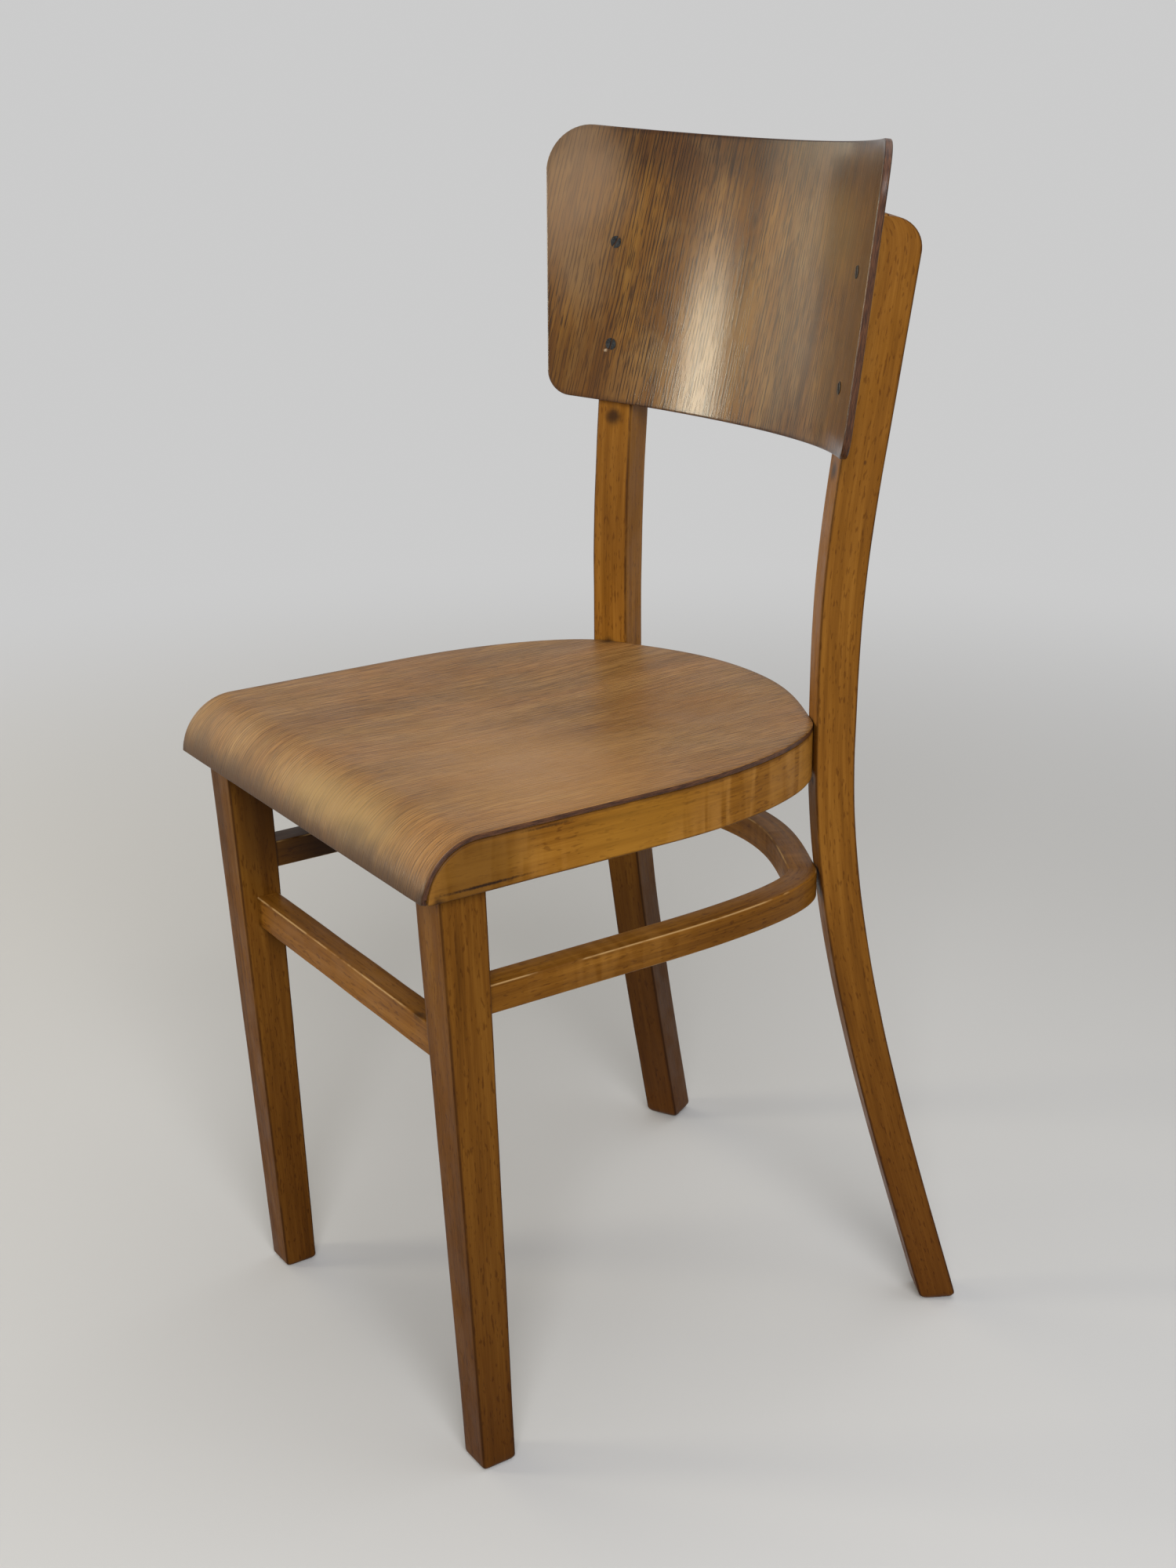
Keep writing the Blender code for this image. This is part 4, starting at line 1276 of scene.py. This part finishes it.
@dataclass
class Back:
    """The two bent posts and the curved ply between them."""

    line: PostLine
    gap: float = 0.3 * MM
    arris: float = 1.5 * MM
    foot_round: float = 6.5 * MM
    crown_round: float = 1.6 * MM
    ply: float = 5.0 * MM
    bottom: float = 641.0 * MM
    top: float = 835.0 * MM
    bottom_half: float = 187.0 * MM
    top_half: float = 204.0 * MM
    top_corner: float = 34.0 * MM
    bottom_corner: float = 19.0 * MM
    round_over: float = 1.1 * MM
    sheet_seed: float = 21.6
    net_half_mm: Point = (200.0, 96.0)
    net_step_mm: Point = (5.0, 12.0)

    def build(self, posts: BeechFinish, veneer: VeneerFinish, edge: bpy.types.Material) -> None:
        """Makes the posts and the panel.

        Args:
            posts: Finish of the posts.
            veneer: Finish of the panel's faces.
            edge: Material of the panel's border.
        """
        wood = posts.material()
        for side in Side:
            name = f"rear_post_{side.word}"
            add_piece(f"bent_post_{side.word}", self._post(side), [wood], [name])
        add_piece("back_sheet", self._panel(), [veneer.material(), edge], ["back_panel"])

    def _post(self, side: Side) -> bpy.types.Mesh:
        """One post, cut level up to its rounded top, where the cuts fan over."""
        line = self.line
        timber = Timber(seed=17.0 + side.value * 2.3, arris=self.arris)
        start = line.height - line.top_radius
        along = 0.0
        before: Vector | None = None
        for z, inset in worn_foot(self.foot_round, start, 120):
            deep = line.depth_at(z)
            middle = line.point(side, z, deep / 2)
            along += (middle - before).length if before else 0.0
            before = middle
            size = (line.width, deep)
            timber.ring(middle, line.across(side), line.outward(side), size, along, inset)
        self._fan(timber, side, start, along)
        return timber.mesh(f"bent_post_{side.word}")

    def _fan(self, timber: Timber, side: Side, start: float, along: float) -> None:
        """Adds the rings over a post's rounded top and the small rounding at its end."""
        line = self.line
        rounding = self.crown_round
        top = line.height - rounding
        lean = math.tan(line.back_lean)
        radius = top - start
        centre = line.offset(start) + line.depth_at(start) - line.top_radius
        for step in range(1, 13):
            angle = math.radians(90.0 * step / 12)
            front_z = start + radius * math.sin(angle)
            front = line.point(side, front_z)
            back_out = centre + line.top_radius * math.cos(angle) + lean * (front_z - start) * 0.5
            back = line.point(side, front_z, back_out - line.offset(front_z))
            way = back - front
            timber.ring(
                (front + back) / 2,
                line.across(side),
                way.normalized(),
                (line.width, way.length),
                along + front_z - start,
            )
        front = line.point(side, top)
        back_out = centre + lean * (top - start) * 0.5 - line.offset(top)
        back = line.point(side, top, back_out)
        way = back - front
        for step in range(1, 4):
            angle = math.radians(30.0 * step)
            lift = rounding * math.sin(angle)
            middle = (front + back) / 2 + Vector((0.0, 0.0, lift))
            inset = rounding * (1.0 - math.cos(angle))
            size = (line.width, way.length)
            level = along + top - start + lift
            timber.ring(middle, line.across(side), way.normalized(), size, level, inset)

    def _panel(self) -> bpy.types.Mesh:
        """The ply, drawn flat with rounded corners, bent to both posts and leaned back with them."""
        line = self.line
        lean = math.atan(math.tan(line.back_lean) / math.cos(line.turn))
        middle = (self.bottom + self.top) / 2
        touch = line.offset(middle) - self.gap / math.cos(lean)
        radius = line.x / math.sin(line.turn) + touch
        half = (self.top - self.bottom) / 2 / math.cos(lean)
        low = (self.bottom_half - self.bottom_corner, self.bottom_corner - half)
        high = (self.top_half - self.top_corner, half - self.top_corner)
        right = arc(low, self.bottom_corner, 270.0, 10) + arc(high, self.top_corner, 0.0, 14)
        outline = right + [(-x, y) for x, y in reversed(right)]
        axis_y = line.y - line.x / math.tan(line.turn)
        sheet_radius = radius - self.ply / 2
        back_y = axis_y + radius - self.ply / 2 / math.cos(lean)

        def bend(flat: np.ndarray) -> np.ndarray:
            """Wraps the sheet round its upright axis, face inward, and leans it back."""
            over, up, depth = flat.T
            reach = sheet_radius - self.ply / 2 - depth
            angle = over / sheet_radius
            x = reach * np.sin(angle)
            y = reach * np.cos(angle) - sheet_radius
            leaned_y = y * math.cos(lean) + up * math.sin(lean)
            leaned_z = up * math.cos(lean) - y * math.sin(lean)
            return np.column_stack([x, leaned_y + back_y, leaned_z + middle])

        steps_x, steps_y = (
            list(np.arange(-half, half + 0.1, step) * MM)
            for half, step in zip(self.net_half_mm, self.net_step_mm)
        )
        sheet = Sheet(outline, self.ply, self.round_over, self.sheet_seed, steps_x, steps_y)
        return sheet.bent("back_sheet", lambda flat: flat[:, [1, 0, 2]], bend)


@dataclass
class Screws:
    """Slotted countersunk screws, set on marked points by a node tree."""

    line: PostLine
    ply: float = 5.0 * MM
    gap: float = 0.3 * MM
    back_head: float = 8.6 * MM
    frame_head: float = 9.5 * MM
    back_heights: Point = (687.6 * MM, 760.5 * MM)
    back_over: float = 2.5 * MM
    proud: float = 0.75 * MM
    frame_proud: float = 0.3 * MM
    slot: float = 1.3 * MM
    back_twist: float = 0.10
    frame_twist: float = 0.61
    turn_seed: int = 4
    frame_heights: Mapping[str, float] = field(
        default_factory=lambda: {"rim": 440.7 * MM, "hoop": 343.8 * MM}
    )

    def back_marks(self) -> list[tuple[Vector, Vector]]:
        """Where the heads on the panel sit and the way that each one faces."""
        line = self.line
        depth = (self.ply + self.gap) / math.cos(line.back_lean) + self.proud
        lean = Vector((0.0, 0.0, math.tan(line.back_lean)))
        return [
            (
                line.point(side, height, -depth, self.back_over),
                (lean - line.outward(side)).normalized(),
            )
            for side in Side
            for height in self.back_heights
        ]

    def frame_marks(self) -> list[tuple[Vector, Vector]]:
        """Where the heads on the posts' backs sit and the way that each one faces."""
        line = self.line
        return [
            (line.point(side, height, line.depth_at(height) + self.frame_proud), line.outward(side))
            for side in Side
            for height in self.frame_heights.values()
        ]

    def build(self, finish: SteelFinish) -> None:
        """Makes the screws of the back and those of the frame, one mesh for each."""
        steel = finish.material()
        levels = ("lower", "upper")
        nodes = [f"back_screw_{level}_{side.word}" for side in Side for level in levels]
        sizes = (self.back_head, self.back_twist)
        self._set("back_screws", self.back_marks(), sizes, steel, nodes)
        nodes = [f"{label}_screw_{side.word}" for side in Side for label in self.frame_heights]
        sizes = (self.frame_head, self.frame_twist)
        self._set("frame_screws", self.frame_marks(), sizes, steel, nodes)

    def _set(
        self,
        name: str,
        marks: Sequence[tuple[Vector, Vector]],
        sizes: Point,
        steel: bpy.types.Material,
        nodes: Sequence[str],
    ) -> None:
        """Grows one group of screws.

        Args:
            name: Name of the piece.
            marks: Where each head sits and the way that it faces.
            sizes: The heads' width, and how far their slots are turned.
            steel: The screws' material.
            nodes: The CAD nodes that they stand for.
        """
        head, twist = sizes
        mesh = bpy.data.meshes.new(name + "_marks")
        mesh.from_pydata([tuple(spot) for spot, _ in marks], [], [])
        store(mesh, "aim", np.array([tuple(aim) for _, aim in marks]))
        inputs = {
            "Head": head,
            "Slot": self.slot,
            "Twist": twist,
            "Seed": self.turn_seed,
            "Material": steel,
        }
        grown = grown_mesh(name, mesh, screw_tree(), inputs)
        add_piece(name, grown, [], nodes)


class Growth(Nodes):
    """Shorthand for building one geometry node tree."""

    def __init__(self, name: str, inputs: Sequence[tuple[str, str]]) -> None:
        """Starts a tree with the given named inputs, and one for the material."""
        super().__init__(bpy.data.node_groups.new(name, "GeometryNodeTree"))
        sockets = self.tree.interface
        sockets.new_socket("Geometry", in_out="INPUT", socket_type="NodeSocketGeometry")
        for label, kind in (*inputs, ("Material", "NodeSocketMaterial")):
            sockets.new_socket(label, in_out="INPUT", socket_type=kind)
        sockets.new_socket("Geometry", in_out="OUTPUT", socket_type="NodeSocketGeometry")
        self.start = self.tree.nodes.new("NodeGroupInput")
        self.end = self.tree.nodes.new("NodeGroupOutput")

    def captured(self, kind: str, label: str, geometry: Socket, value: Socket) -> bpy.types.Node:
        """Keeps a value on the geometry that it is read from."""
        made = self.node("GeometryNodeCaptureAttribute")
        made.capture_items.new(kind, label)
        self.feed(made.inputs[0], geometry)
        self.feed(made.inputs[1], value)
        return made

    def finish(self, geometry: Socket) -> bpy.types.NodeTree:
        """Ends the tree with real geometry in the given material."""
        real = self.node("GeometryNodeRealizeInstances", {0: geometry})
        dressed = self.node(
            "GeometryNodeSetMaterial",
            {"Geometry": real.outputs[0], "Material": self.start.outputs["Material"]},
        )
        self.feed(self.end.inputs[0], dressed.outputs[0])
        return self.tree


def rail_tree() -> bpy.types.NodeTree:
    """A bent rail: a rounded section carried along a curve, with its grain and edges marked.

    Returns:
        The tree, with inputs Width, Height, Arris, Seed and Material.
    """
    sizes = ("Width", "Height", "Arris", "Seed")
    grow = Growth("bent_rail", [(label, FLOAT_INPUT) for label in sizes])
    given = grow.start.outputs
    upright = grow.node("GeometryNodeSetCurveNormal", {0: given["Geometry"]})
    upright.mode = "Z_UP"
    length = grow.node("GeometryNodeSplineParameter").outputs["Length"]
    path = grow.captured("FLOAT", "Length", upright.outputs[0], length)
    block = grow.node(
        "GeometryNodeCurvePrimitiveQuadrilateral", {0: given["Width"], 1: given["Height"]}
    )
    soft = grow.node(
        "GeometryNodeFilletCurve", {0: block.outputs[0], "Radius": given["Arris"]}, mode="POLY"
    )
    soft.inputs["Count"].default_value = 4
    fine = grow.node("GeometryNodeSubdivideCurve", {0: soft.outputs[0], 1: 1})
    spot = grow.node("GeometryNodeInputPosition").outputs[0]
    profile = grow.captured("VECTOR", "Place", fine.outputs[0], spot)
    swept = grow.node(
        "GeometryNodeCurveToMesh", {0: path.outputs[0], 1: profile.outputs[0], "Fill Caps": True}
    )
    parts = grow.split(profile.outputs[1])
    grain = grow.join(path.outputs[1], parts[0], parts[1])
    gaps = [
        grow.math("SUBTRACT", grow.math("MULTIPLY", given[size], 0.5), grow.math("ABSOLUTE", part))
        for size, part in (("Width", parts[0]), ("Height", parts[1]))
    ]
    edge = grow.join(gaps[0], gaps[1], given["Seed"])
    shape = swept.outputs[0]
    for name, value in ((GRAIN, grain), (EDGE, edge)):
        kept = grow.node(
            "GeometryNodeStoreNamedAttribute", {0: shape}, data_type="FLOAT_VECTOR", domain="POINT"
        )
        kept.inputs["Name"].default_value = name
        grow.feed(kept.inputs["Value"], value)
        shape = kept.outputs[0]
    return grow.finish(shape)


def screw_tree() -> bpy.types.NodeTree:
    """Screws set on points: a countersunk head with a slot, each turned a little differently.

    Returns:
        The tree, with inputs Head, Slot, Twist, Seed and Material.
    """
    sizes = [(label, FLOAT_INPUT) for label in ("Head", "Slot", "Twist")]
    grow = Growth("slotted_screws", [*sizes, ("Seed", "NodeSocketInt")])
    given = grow.start.outputs
    radius = grow.math("MULTIPLY", given["Head"], 0.5)
    deep = grow.math("MULTIPLY", given["Head"], 0.34)
    cone = grow.node(
        "GeometryNodeMeshCone",
        {
            "Vertices": 40,
            "Side Segments": 4,
            "Fill Segments": 3,
            "Radius Top": radius,
            "Radius Bottom": grow.math("MULTIPLY", given["Head"], 0.24),
            "Depth": deep,
        },
    )
    down = grow.join(0.0, 0.0, grow.math("MULTIPLY", deep, -1.0))
    head = grow.node(
        "GeometryNodeTransform", {"Geometry": cone.outputs[0], "Translation": down}
    )
    slot_long = grow.math("MULTIPLY", given["Head"], 1.4)
    slot_deep = grow.math("MULTIPLY", given["Slot"], 1.8)
    slot = grow.node(
        "GeometryNodeMeshCube", {"Size": grow.join(given["Slot"], slot_long, slot_deep)}
    )
    cut = grow.node("GeometryNodeMeshBoolean", operation="DIFFERENCE", solver="EXACT")
    grow.feed(cut.inputs["Mesh 1"], head.outputs[0])
    grow.feed(cut.inputs["Mesh 2"], slot.outputs[0])
    aim = grow.node("GeometryNodeInputNamedAttribute", data_type="FLOAT_VECTOR")
    aim.inputs["Name"].default_value = "aim"
    faced = grow.node(
        "FunctionNodeAlignRotationToVector", {"Vector": aim.outputs[0]}, axis="Z", pivot_axis="AUTO"
    )
    loose = grow.node("FunctionNodeRandomValue", data_type="FLOAT")
    loose.inputs[2].default_value = -0.25
    loose.inputs[3].default_value = 0.25
    grow.feed(loose.inputs["Seed"], given["Seed"])
    turn = grow.math("ADD", given["Twist"], loose.outputs[1])
    spin = grow.node("FunctionNodeAxisAngleToRotation", {"Axis": (0.0, 0.0, 1.0), "Angle": turn})
    both = grow.node(
        "FunctionNodeRotateRotation", {0: faced.outputs[0], 1: spin.outputs[0]}, rotation_space="LOCAL"
    )
    spread = grow.node(
        "GeometryNodeInstanceOnPoints",
        {"Points": given["Geometry"], "Instance": cut.outputs[0], "Rotation": both.outputs[0]},
    )
    return grow.finish(spread.outputs[0])


def grown_mesh(
    name: str,
    data: bpy.types.Mesh | bpy.types.Curve,
    tree: bpy.types.NodeTree,
    inputs: Mapping[str, object],
) -> bpy.types.Mesh:
    """Runs a geometry node tree on a mesh or curve and keeps the result as a plain mesh.

    Args:
        name: Name of the finished mesh.
        data: What the tree starts from.
        tree: The tree.
        inputs: A value for each of its named inputs.

    Returns:
        The plain mesh.
    """
    holder = bpy.data.objects.new(name + "_holder", data)
    bpy.context.scene.collection.objects.link(holder)
    modifier = holder.modifiers.new("grown", "NODES")
    modifier.node_group = tree
    for item in tree.interface.items_tree:
        if item.item_type == "SOCKET" and item.in_out == "INPUT" and item.name in inputs:
            modifier[item.identifier] = inputs[item.name]
    bpy.context.view_layer.update()
    graph = bpy.context.evaluated_depsgraph_get()
    made = bpy.data.meshes.new_from_object(holder.evaluated_get(graph))
    made.name = name
    made.materials.clear()
    made.materials.append(inputs["Material"])
    made.polygons.foreach_set("material_index", [0] * len(made.polygons))
    bpy.data.objects.remove(holder)
    work = bmesh.new()
    work.from_mesh(made)
    bmesh.ops.remove_doubles(work, verts=work.verts, dist=1e-6)
    bmesh.ops.recalc_face_normals(work, faces=work.faces)
    work.to_mesh(made)
    work.free()
    return made


@dataclass(frozen=True)
class Lamp:
    """A soft rectangular lamp: where it hangs, what it faces, its size, watts and colour."""

    name: str
    spot: Triple
    target: Triple
    size: Point
    power: float
    colour: Colour = (1.0, 1.0, 1.0)

    def hang(self) -> None:
        """Puts the lamp in the scene."""
        data = bpy.data.lights.new(self.name, "AREA")
        data.shape = "RECTANGLE"
        data.size, data.size_y = self.size
        data.energy = self.power
        data.color = self.colour
        lamp = bpy.data.objects.new(self.name, data)
        bpy.context.scene.collection.objects.link(lamp)
        lamp.location = self.spot
        aim = Vector(self.target) - Vector(self.spot)
        lamp.rotation_euler = aim.to_track_quat("-Z", "Y").to_euler()


LAMPS = (
    Lamp("window_low", (-1.55, -2.43, 0.74), (0.0, 0.1, 0.7), (0.62, 0.60), 28.0, (1.0, 0.92, 0.72)),
    Lamp("window_side", (-2.75, -1.0, 1.25), (0.0, -0.1, 0.6), (2.3, 1.3), 21.0, (1.0, 0.86, 0.60)),
    Lamp("softbox_right", (2.5, -1.3, 2.0), (0.0, 0.0, 0.45), (1.8, 1.8), 98.0),
    Lamp("ceiling", (0.2, 0.6, 3.2), (0.0, 0.0, 0.4), (3.0, 3.0), 34.0),
)


@dataclass
class Studio:
    """The pale floor, the soft lights and the camera at the photograph's angle."""

    camera_at: Triple = (1.1595, -0.75645, 0.9034)
    azimuth: float = 56.552
    pitch: float = 19.869
    roll: float = -0.763
    lens: float = 47.534
    sensor: float = 36.0
    backdrop: float = 0.60
    ambient: float = 0.16
    bounce: Colour = (0.17, 0.155, 0.13)
    floor_colour: Colour = (0.60, 0.60, 0.60)
    floor_radius: float = 40.0
    fade: Point = (0.8, 2.3)

    def build(self) -> None:
        """Sets up the world, the floor, the lights and the camera."""
        self._world()
        self._floor()
        for lamp in LAMPS:
            lamp.hang()
        self._camera()
        bpy.context.scene.view_settings.view_transform = "Standard"

    def _world(self) -> None:
        """A pale surround for the camera and for reflections, and a weaker even light for the rest."""
        world = bpy.data.worlds.new("surround")
        bpy.context.scene.world = world
        world.use_nodes = True
        g = Nodes(world.node_tree)
        background = g.tree.nodes["Background"]
        background.inputs["Color"].default_value = (1.0, 1.0, 1.0, 1.0)
        g.feed(background.inputs["Strength"], g.blend(g.shown(), self.ambient, self.backdrop))

    def _floor(self) -> None:
        """A wide pale floor that fades into the surround far from the chair."""
        mesh = bpy.data.meshes.new("floor")
        work = bmesh.new()
        bmesh.ops.create_circle(work, cap_ends=True, segments=96, radius=self.floor_radius)
        work.to_mesh(mesh)
        work.free()
        floor = bpy.data.objects.new("floor", mesh)
        bpy.context.scene.collection.objects.link(floor)
        g = Graph("pale_floor")
        tree = g.tree
        seen = g.shown()
        g.settle(Base_Color=g.mix(seen, self.bounce, self.floor_colour), Roughness=0.85)
        away = g.node("ShaderNodeVectorMath", {0: g.place()}, operation="LENGTH").outputs["Value"]
        far = g.ease(away, *self.fade)
        plain = g.node(
            "ShaderNodeEmission", {"Color": (1.0, 1.0, 1.0, 1.0), "Strength": self.backdrop}
        )
        share = g.math("MULTIPLY", far, seen)
        blend = g.node("ShaderNodeMixShader", {0: share})
        tree.links.new(g.shader.outputs[0], blend.inputs[1])
        tree.links.new(plain.outputs[0], blend.inputs[2])
        tree.links.new(blend.outputs[0], tree.nodes["Material Output"].inputs["Surface"])
        mesh.materials.append(g.material)

    def _camera(self) -> None:
        """The camera, level with its azimuth and pitch and rolled a little."""
        data = bpy.data.cameras.new("camera")
        data.lens = self.lens
        data.sensor_width = self.sensor
        camera = bpy.data.objects.new("camera", data)
        bpy.context.scene.collection.objects.link(camera)
        turn, down, roll = (math.radians(a) for a in (self.azimuth, self.pitch, self.roll))
        right = Vector((math.cos(turn), math.sin(turn), 0.0))
        ahead = Vector(
            (-math.sin(turn) * math.cos(down), math.cos(turn) * math.cos(down), -math.sin(down))
        )
        up = right.cross(ahead)
        level = right * math.cos(roll) + up * math.sin(roll)
        head = up * math.cos(roll) - right * math.sin(roll)
        place = Matrix((level, head, -ahead)).transposed().to_4x4()
        place.translation = Vector(self.camera_at)
        camera.matrix_world = place
        bpy.context.scene.camera = camera


def seat_veneer(line: PostLine, seat: Seat) -> VeneerFinish:
    """The seat's ply: rubbed and with painted sheen in the middle, a painted highlight on the roll,
    dirty corners, dirt and painted shade under the roll and at its far end.
    """
    return VeneerFinish(
        "seat_veneer",
        dark=(0.152, 0.069, 0.0165),
        middle=(0.266, 0.131, 0.0360),
        light=(0.368, 0.196, 0.0620),
        pitch=2.6 * MM,
        pore_strength=0.62,
        pore_colour=(0.060, 0.022, 0.006),
        streaks=650.0,
        streak_share=0.50,
        spread=0.135,
        blotch=0.20,
        blotch_colour=(0.27, 0.155, 0.045),
        border=0.28,
        coat=0.06,
        specular=0.20,
        dirt_and_painted_light=(
            Speck(line.point(Side.LEFT, seat.height, -2 * MM), 11 * MM, 0.8),
            # Paler patch in the middle: rubbed varnish with a painted sheen on it.
            Speck((0.10, -0.10, 0.462), 130 * MM, 0.55, (0.7, 1.0, 1.0), (0.40, 0.205, 0.070)),
            # Pale golden band along the near part of the roll: a painted highlight.
            Speck((0.05, -0.22, 0.448), 60 * MM, 0.52, (0.45, 1.0, 2.5), (0.35, 0.230, 0.082)),
            Speck((0.1745, -0.222, 0.427), 12 * MM, 0.9),
            Speck((-0.1745, -0.222, 0.427), 8 * MM, 0.8),
            Speck((-0.125, -0.2225, 0.434), 2.4 * MM, 0.8),
            Speck((0.05, 0.063, 0.462), 80 * MM, 0.36, tint=(0.22, 0.085, 0.010)),
            # Dark band along the roll's lower edge: dirt there, deepened into painted shade under the
            # roll.
            Speck((0.0, -0.2215, 0.4225), 31 * MM, 0.82, (0.02, 1.0, 1.0), (0.045, 0.018, 0.004)),
            # Darker far end of the roll: painted shade.
            Speck((-0.1650, -0.2200, 0.4350), 42 * MM, 0.38, tint=(0.105, 0.052, 0.014)),
        ),
    )


def rim_varnish(line: PostLine) -> BeechFinish:
    """The seat's rim: curly figure, dark at the front, with two cracks and dirt at the post."""
    return BeechFinish(
        "rim_varnish",
        middle=(0.235, 0.093, 0.0095),
        light=(0.345, 0.150, 0.0190),
        curl=0.30,
        specks=0.85,
        arris_strength=0.55,
        dirt_and_painted_light=(
            Speck((0.1745, -0.1850, 0.4400), 62 * MM, 0.72, tint=(0.105, 0.042, 0.0045)),
            Speck((0.1745, -0.0650, 0.4400), 60 * MM, 0.42, (1.0, 0.8, 1.0), (0.385, 0.180, 0.0220)),
            Speck((0.1745, -0.1800, 0.4285), 1.6 * MM, 0.95, (1.0, 0.035, 1.0)),
            Speck((0.1745, -0.2120, 0.4240), 6.0 * MM, 0.85),
            Speck((0.1745, -0.1350, 0.4560), 1.4 * MM, 0.7, (1.0, 0.05, 1.0)),
            Speck(line.point(Side.RIGHT, 0.441, -2 * MM, -12 * MM), 8 * MM, 0.7),
        ),
    )


def leg_varnish() -> BeechFinish:
    """The front legs: darker than the rest, most of all toward the floor, with painted shade at the top
    of the far leg.
    """
    return BeechFinish(
        "leg_varnish",
        dark=(0.074, 0.026, 0.0030),
        middle=(0.150, 0.056, 0.0064),
        light=(0.225, 0.094, 0.0130),
        foot_height=330 * MM,
        foot_dark=0.60,
        dirt_and_painted_light=(
            # Darker top of the far leg's inner face: painted shade under the seat.
            Speck((-0.1355, -0.182, 0.372), 80 * MM, 0.70, (1.0, 1.8, 0.7), (0.045, 0.016, 0.003)),
        ),
        specular=0.06,
    )


def hoop_varnish(line: PostLine) -> BeechFinish:
    """The hoop stretcher: rubbed arrises, with painted shade over its far side and old dirt at the
    posts.
    """
    hoop_dirt_and_painted_shade = (
        # The whole far side of the hoop darkened: painted shade under the seat.
        Speck((-0.155, -0.100, 0.340), 150 * MM, 1.0),
        Speck(line.point(Side.RIGHT, 0.344, -2 * MM, -6 * MM), 10 * MM, 0.8),
    )
    return BeechFinish(
        "hoop_varnish",
        dark=(0.085, 0.029, 0.0030),
        middle=(0.180, 0.069, 0.0070),
        light=(0.270, 0.114, 0.0150),
        arris_look=ArrisLook.RUBBED,
        curl=0.12,
        dirt_and_painted_light=hoop_dirt_and_painted_shade,
    )


def bar_varnish() -> BeechFinish:
    """The front stretcher: rubbed arrises and one dirty spot beside the leg."""
    return BeechFinish(
        "bar_varnish",
        arris_look=ArrisLook.RUBBED,
        dirt_and_painted_light=(Speck((0.102, -0.190, 0.3161), 6 * MM, 0.65, (0.7, 1.0, 1.0)),),
    )


def post_varnish(line: PostLine, screws: Screws) -> BeechFinish:
    """The rear posts: darker toward the floor (dirt low down, painted shade under the seat above it),
    with dirt where other pieces meet them, painted shade low on the far post and a painted shadow under
    the panel.
    """
    heads = tuple(Speck(spot, 6.5 * MM, 0.8) for spot, _ in screws.frame_marks())
    # Darker lower front of the far post: painted shade under the seat.
    shade = Speck(
        line.point(Side.LEFT, 0.16), 150 * MM, 0.40, (0.8, 0.8, 0.6), (0.05, 0.018, 0.003)
    )
    # A slight darkening of the far post's front, between the seat and the panel.
    dull = Speck(line.point(Side.LEFT, 0.58), 110 * MM, 0.20, tint=(0.075, 0.028, 0.003))
    post_dirt_and_painted_shade = heads + (shade, dull) + tuple(
        Speck(line.point(side, height, 0.0, over), reach, 0.85)
        for side in Side
        for height, over, reach in (
            (0.338, -2 * MM, 9 * MM),
            (0.352, 4 * MM, 7 * MM),
            (0.420, 3 * MM, 6 * MM),
            (0.459, 0.0, 8 * MM),
            # Just under the panel's lower edge: a painted shadow of the panel, with dirt at the joint.
            (0.634, 0.0, 10 * MM),
        )
    )
    # foot_height and foot_dark darken the posts far up: floor dirt low down, painted shade under the
    # seat above it.
    return BeechFinish("post_varnish", dirt_and_painted_light=post_dirt_and_painted_shade, foot_height=430 * MM, foot_dark=0.80)


def back_veneer(screws: Screws) -> VeneerFinish:
    """The back's ply: dark at the top, cloudy, with painted sheen and painted shade in places, a pale
    fleck by a screw, dirty round the screws.
    """
    around_heads = tuple(Speck(spot, 5.4 * MM, 0.85) for spot, _ in screws.back_marks())
    panel_painted_sheen_and_shade = (
        # Pale patches in the middle, the upper right and the upper far corner: painted sheen and
        # painted highlight, standing in for reflections in the varnish.
        Speck((-0.035, 0.155, 0.700), 60 * MM, 0.25, (1.0, 1.0, 0.7), (0.34, 0.215, 0.080)),
        Speck((0.090, 0.150, 0.780), 50 * MM, 0.30, (0.7, 1.0, 1.0), (0.24, 0.150, 0.045)),
        Speck((-0.170, 0.120, 0.795), 64 * MM, 0.58, (1.0, 1.0, 0.6), (0.30, 0.200, 0.125)),
        # Darker patches low on the far side: painted shade.
        Speck((-0.150, 0.105, 0.660), 62 * MM, 0.52, (1.0, 1.0, 1.0), (0.080, 0.030, 0.0035)),
        Speck((-0.150, 0.115, 0.735), 55 * MM, 0.30, (1.0, 1.0, 1.0), (0.080, 0.030, 0.0035)),
        Speck((-0.1345, 0.1195, 0.6826), 2.2 * MM, 0.8, tint=(0.55, 0.42, 0.28)),
    )
    return VeneerFinish(
        "back_veneer",
        dark=(0.073, 0.027, 0.0030),
        middle=(0.151, 0.062, 0.0080),
        light=(0.240, 0.114, 0.0180),
        pitch=2.9 * MM,
        pore_strength=0.95,
        pore_colour=(0.022, 0.009, 0.003),
        blotch=0.38,
        stain_from=66.0 * MM,
        border=0.6,
        slant=0.12,
        relief=0.03 * MM,
        coat=0.60,
        coat_roughness=0.19,
        specular=0.05,
        roughness=0.42,
        dirt_and_painted_light=panel_painted_sheen_and_shade + around_heads,
    )


def main() -> None:
    """Builds the chair's pieces in order, then the studio."""
    logging.basicConfig(level=logging.INFO, format="%(name)s: %(message)s")
    line = PostLine()
    screws = Screws(line)
    ply_edge = PlyEdgeFinish().material()
    seat = Seat(line)
    seat.build(seat_veneer(line, seat), ply_edge, rim_varnish(line))
    legs = FrontLegs(seat)
    legs.build(leg_varnish())
    Stretchers(seat, legs).build(hoop_varnish(line), bar_varnish())
    Back(line).build(post_varnish(line, screws), back_veneer(screws), ply_edge)
    screws.build(SteelFinish())
    Studio().build()


if __name__ == "__main__":
    main()
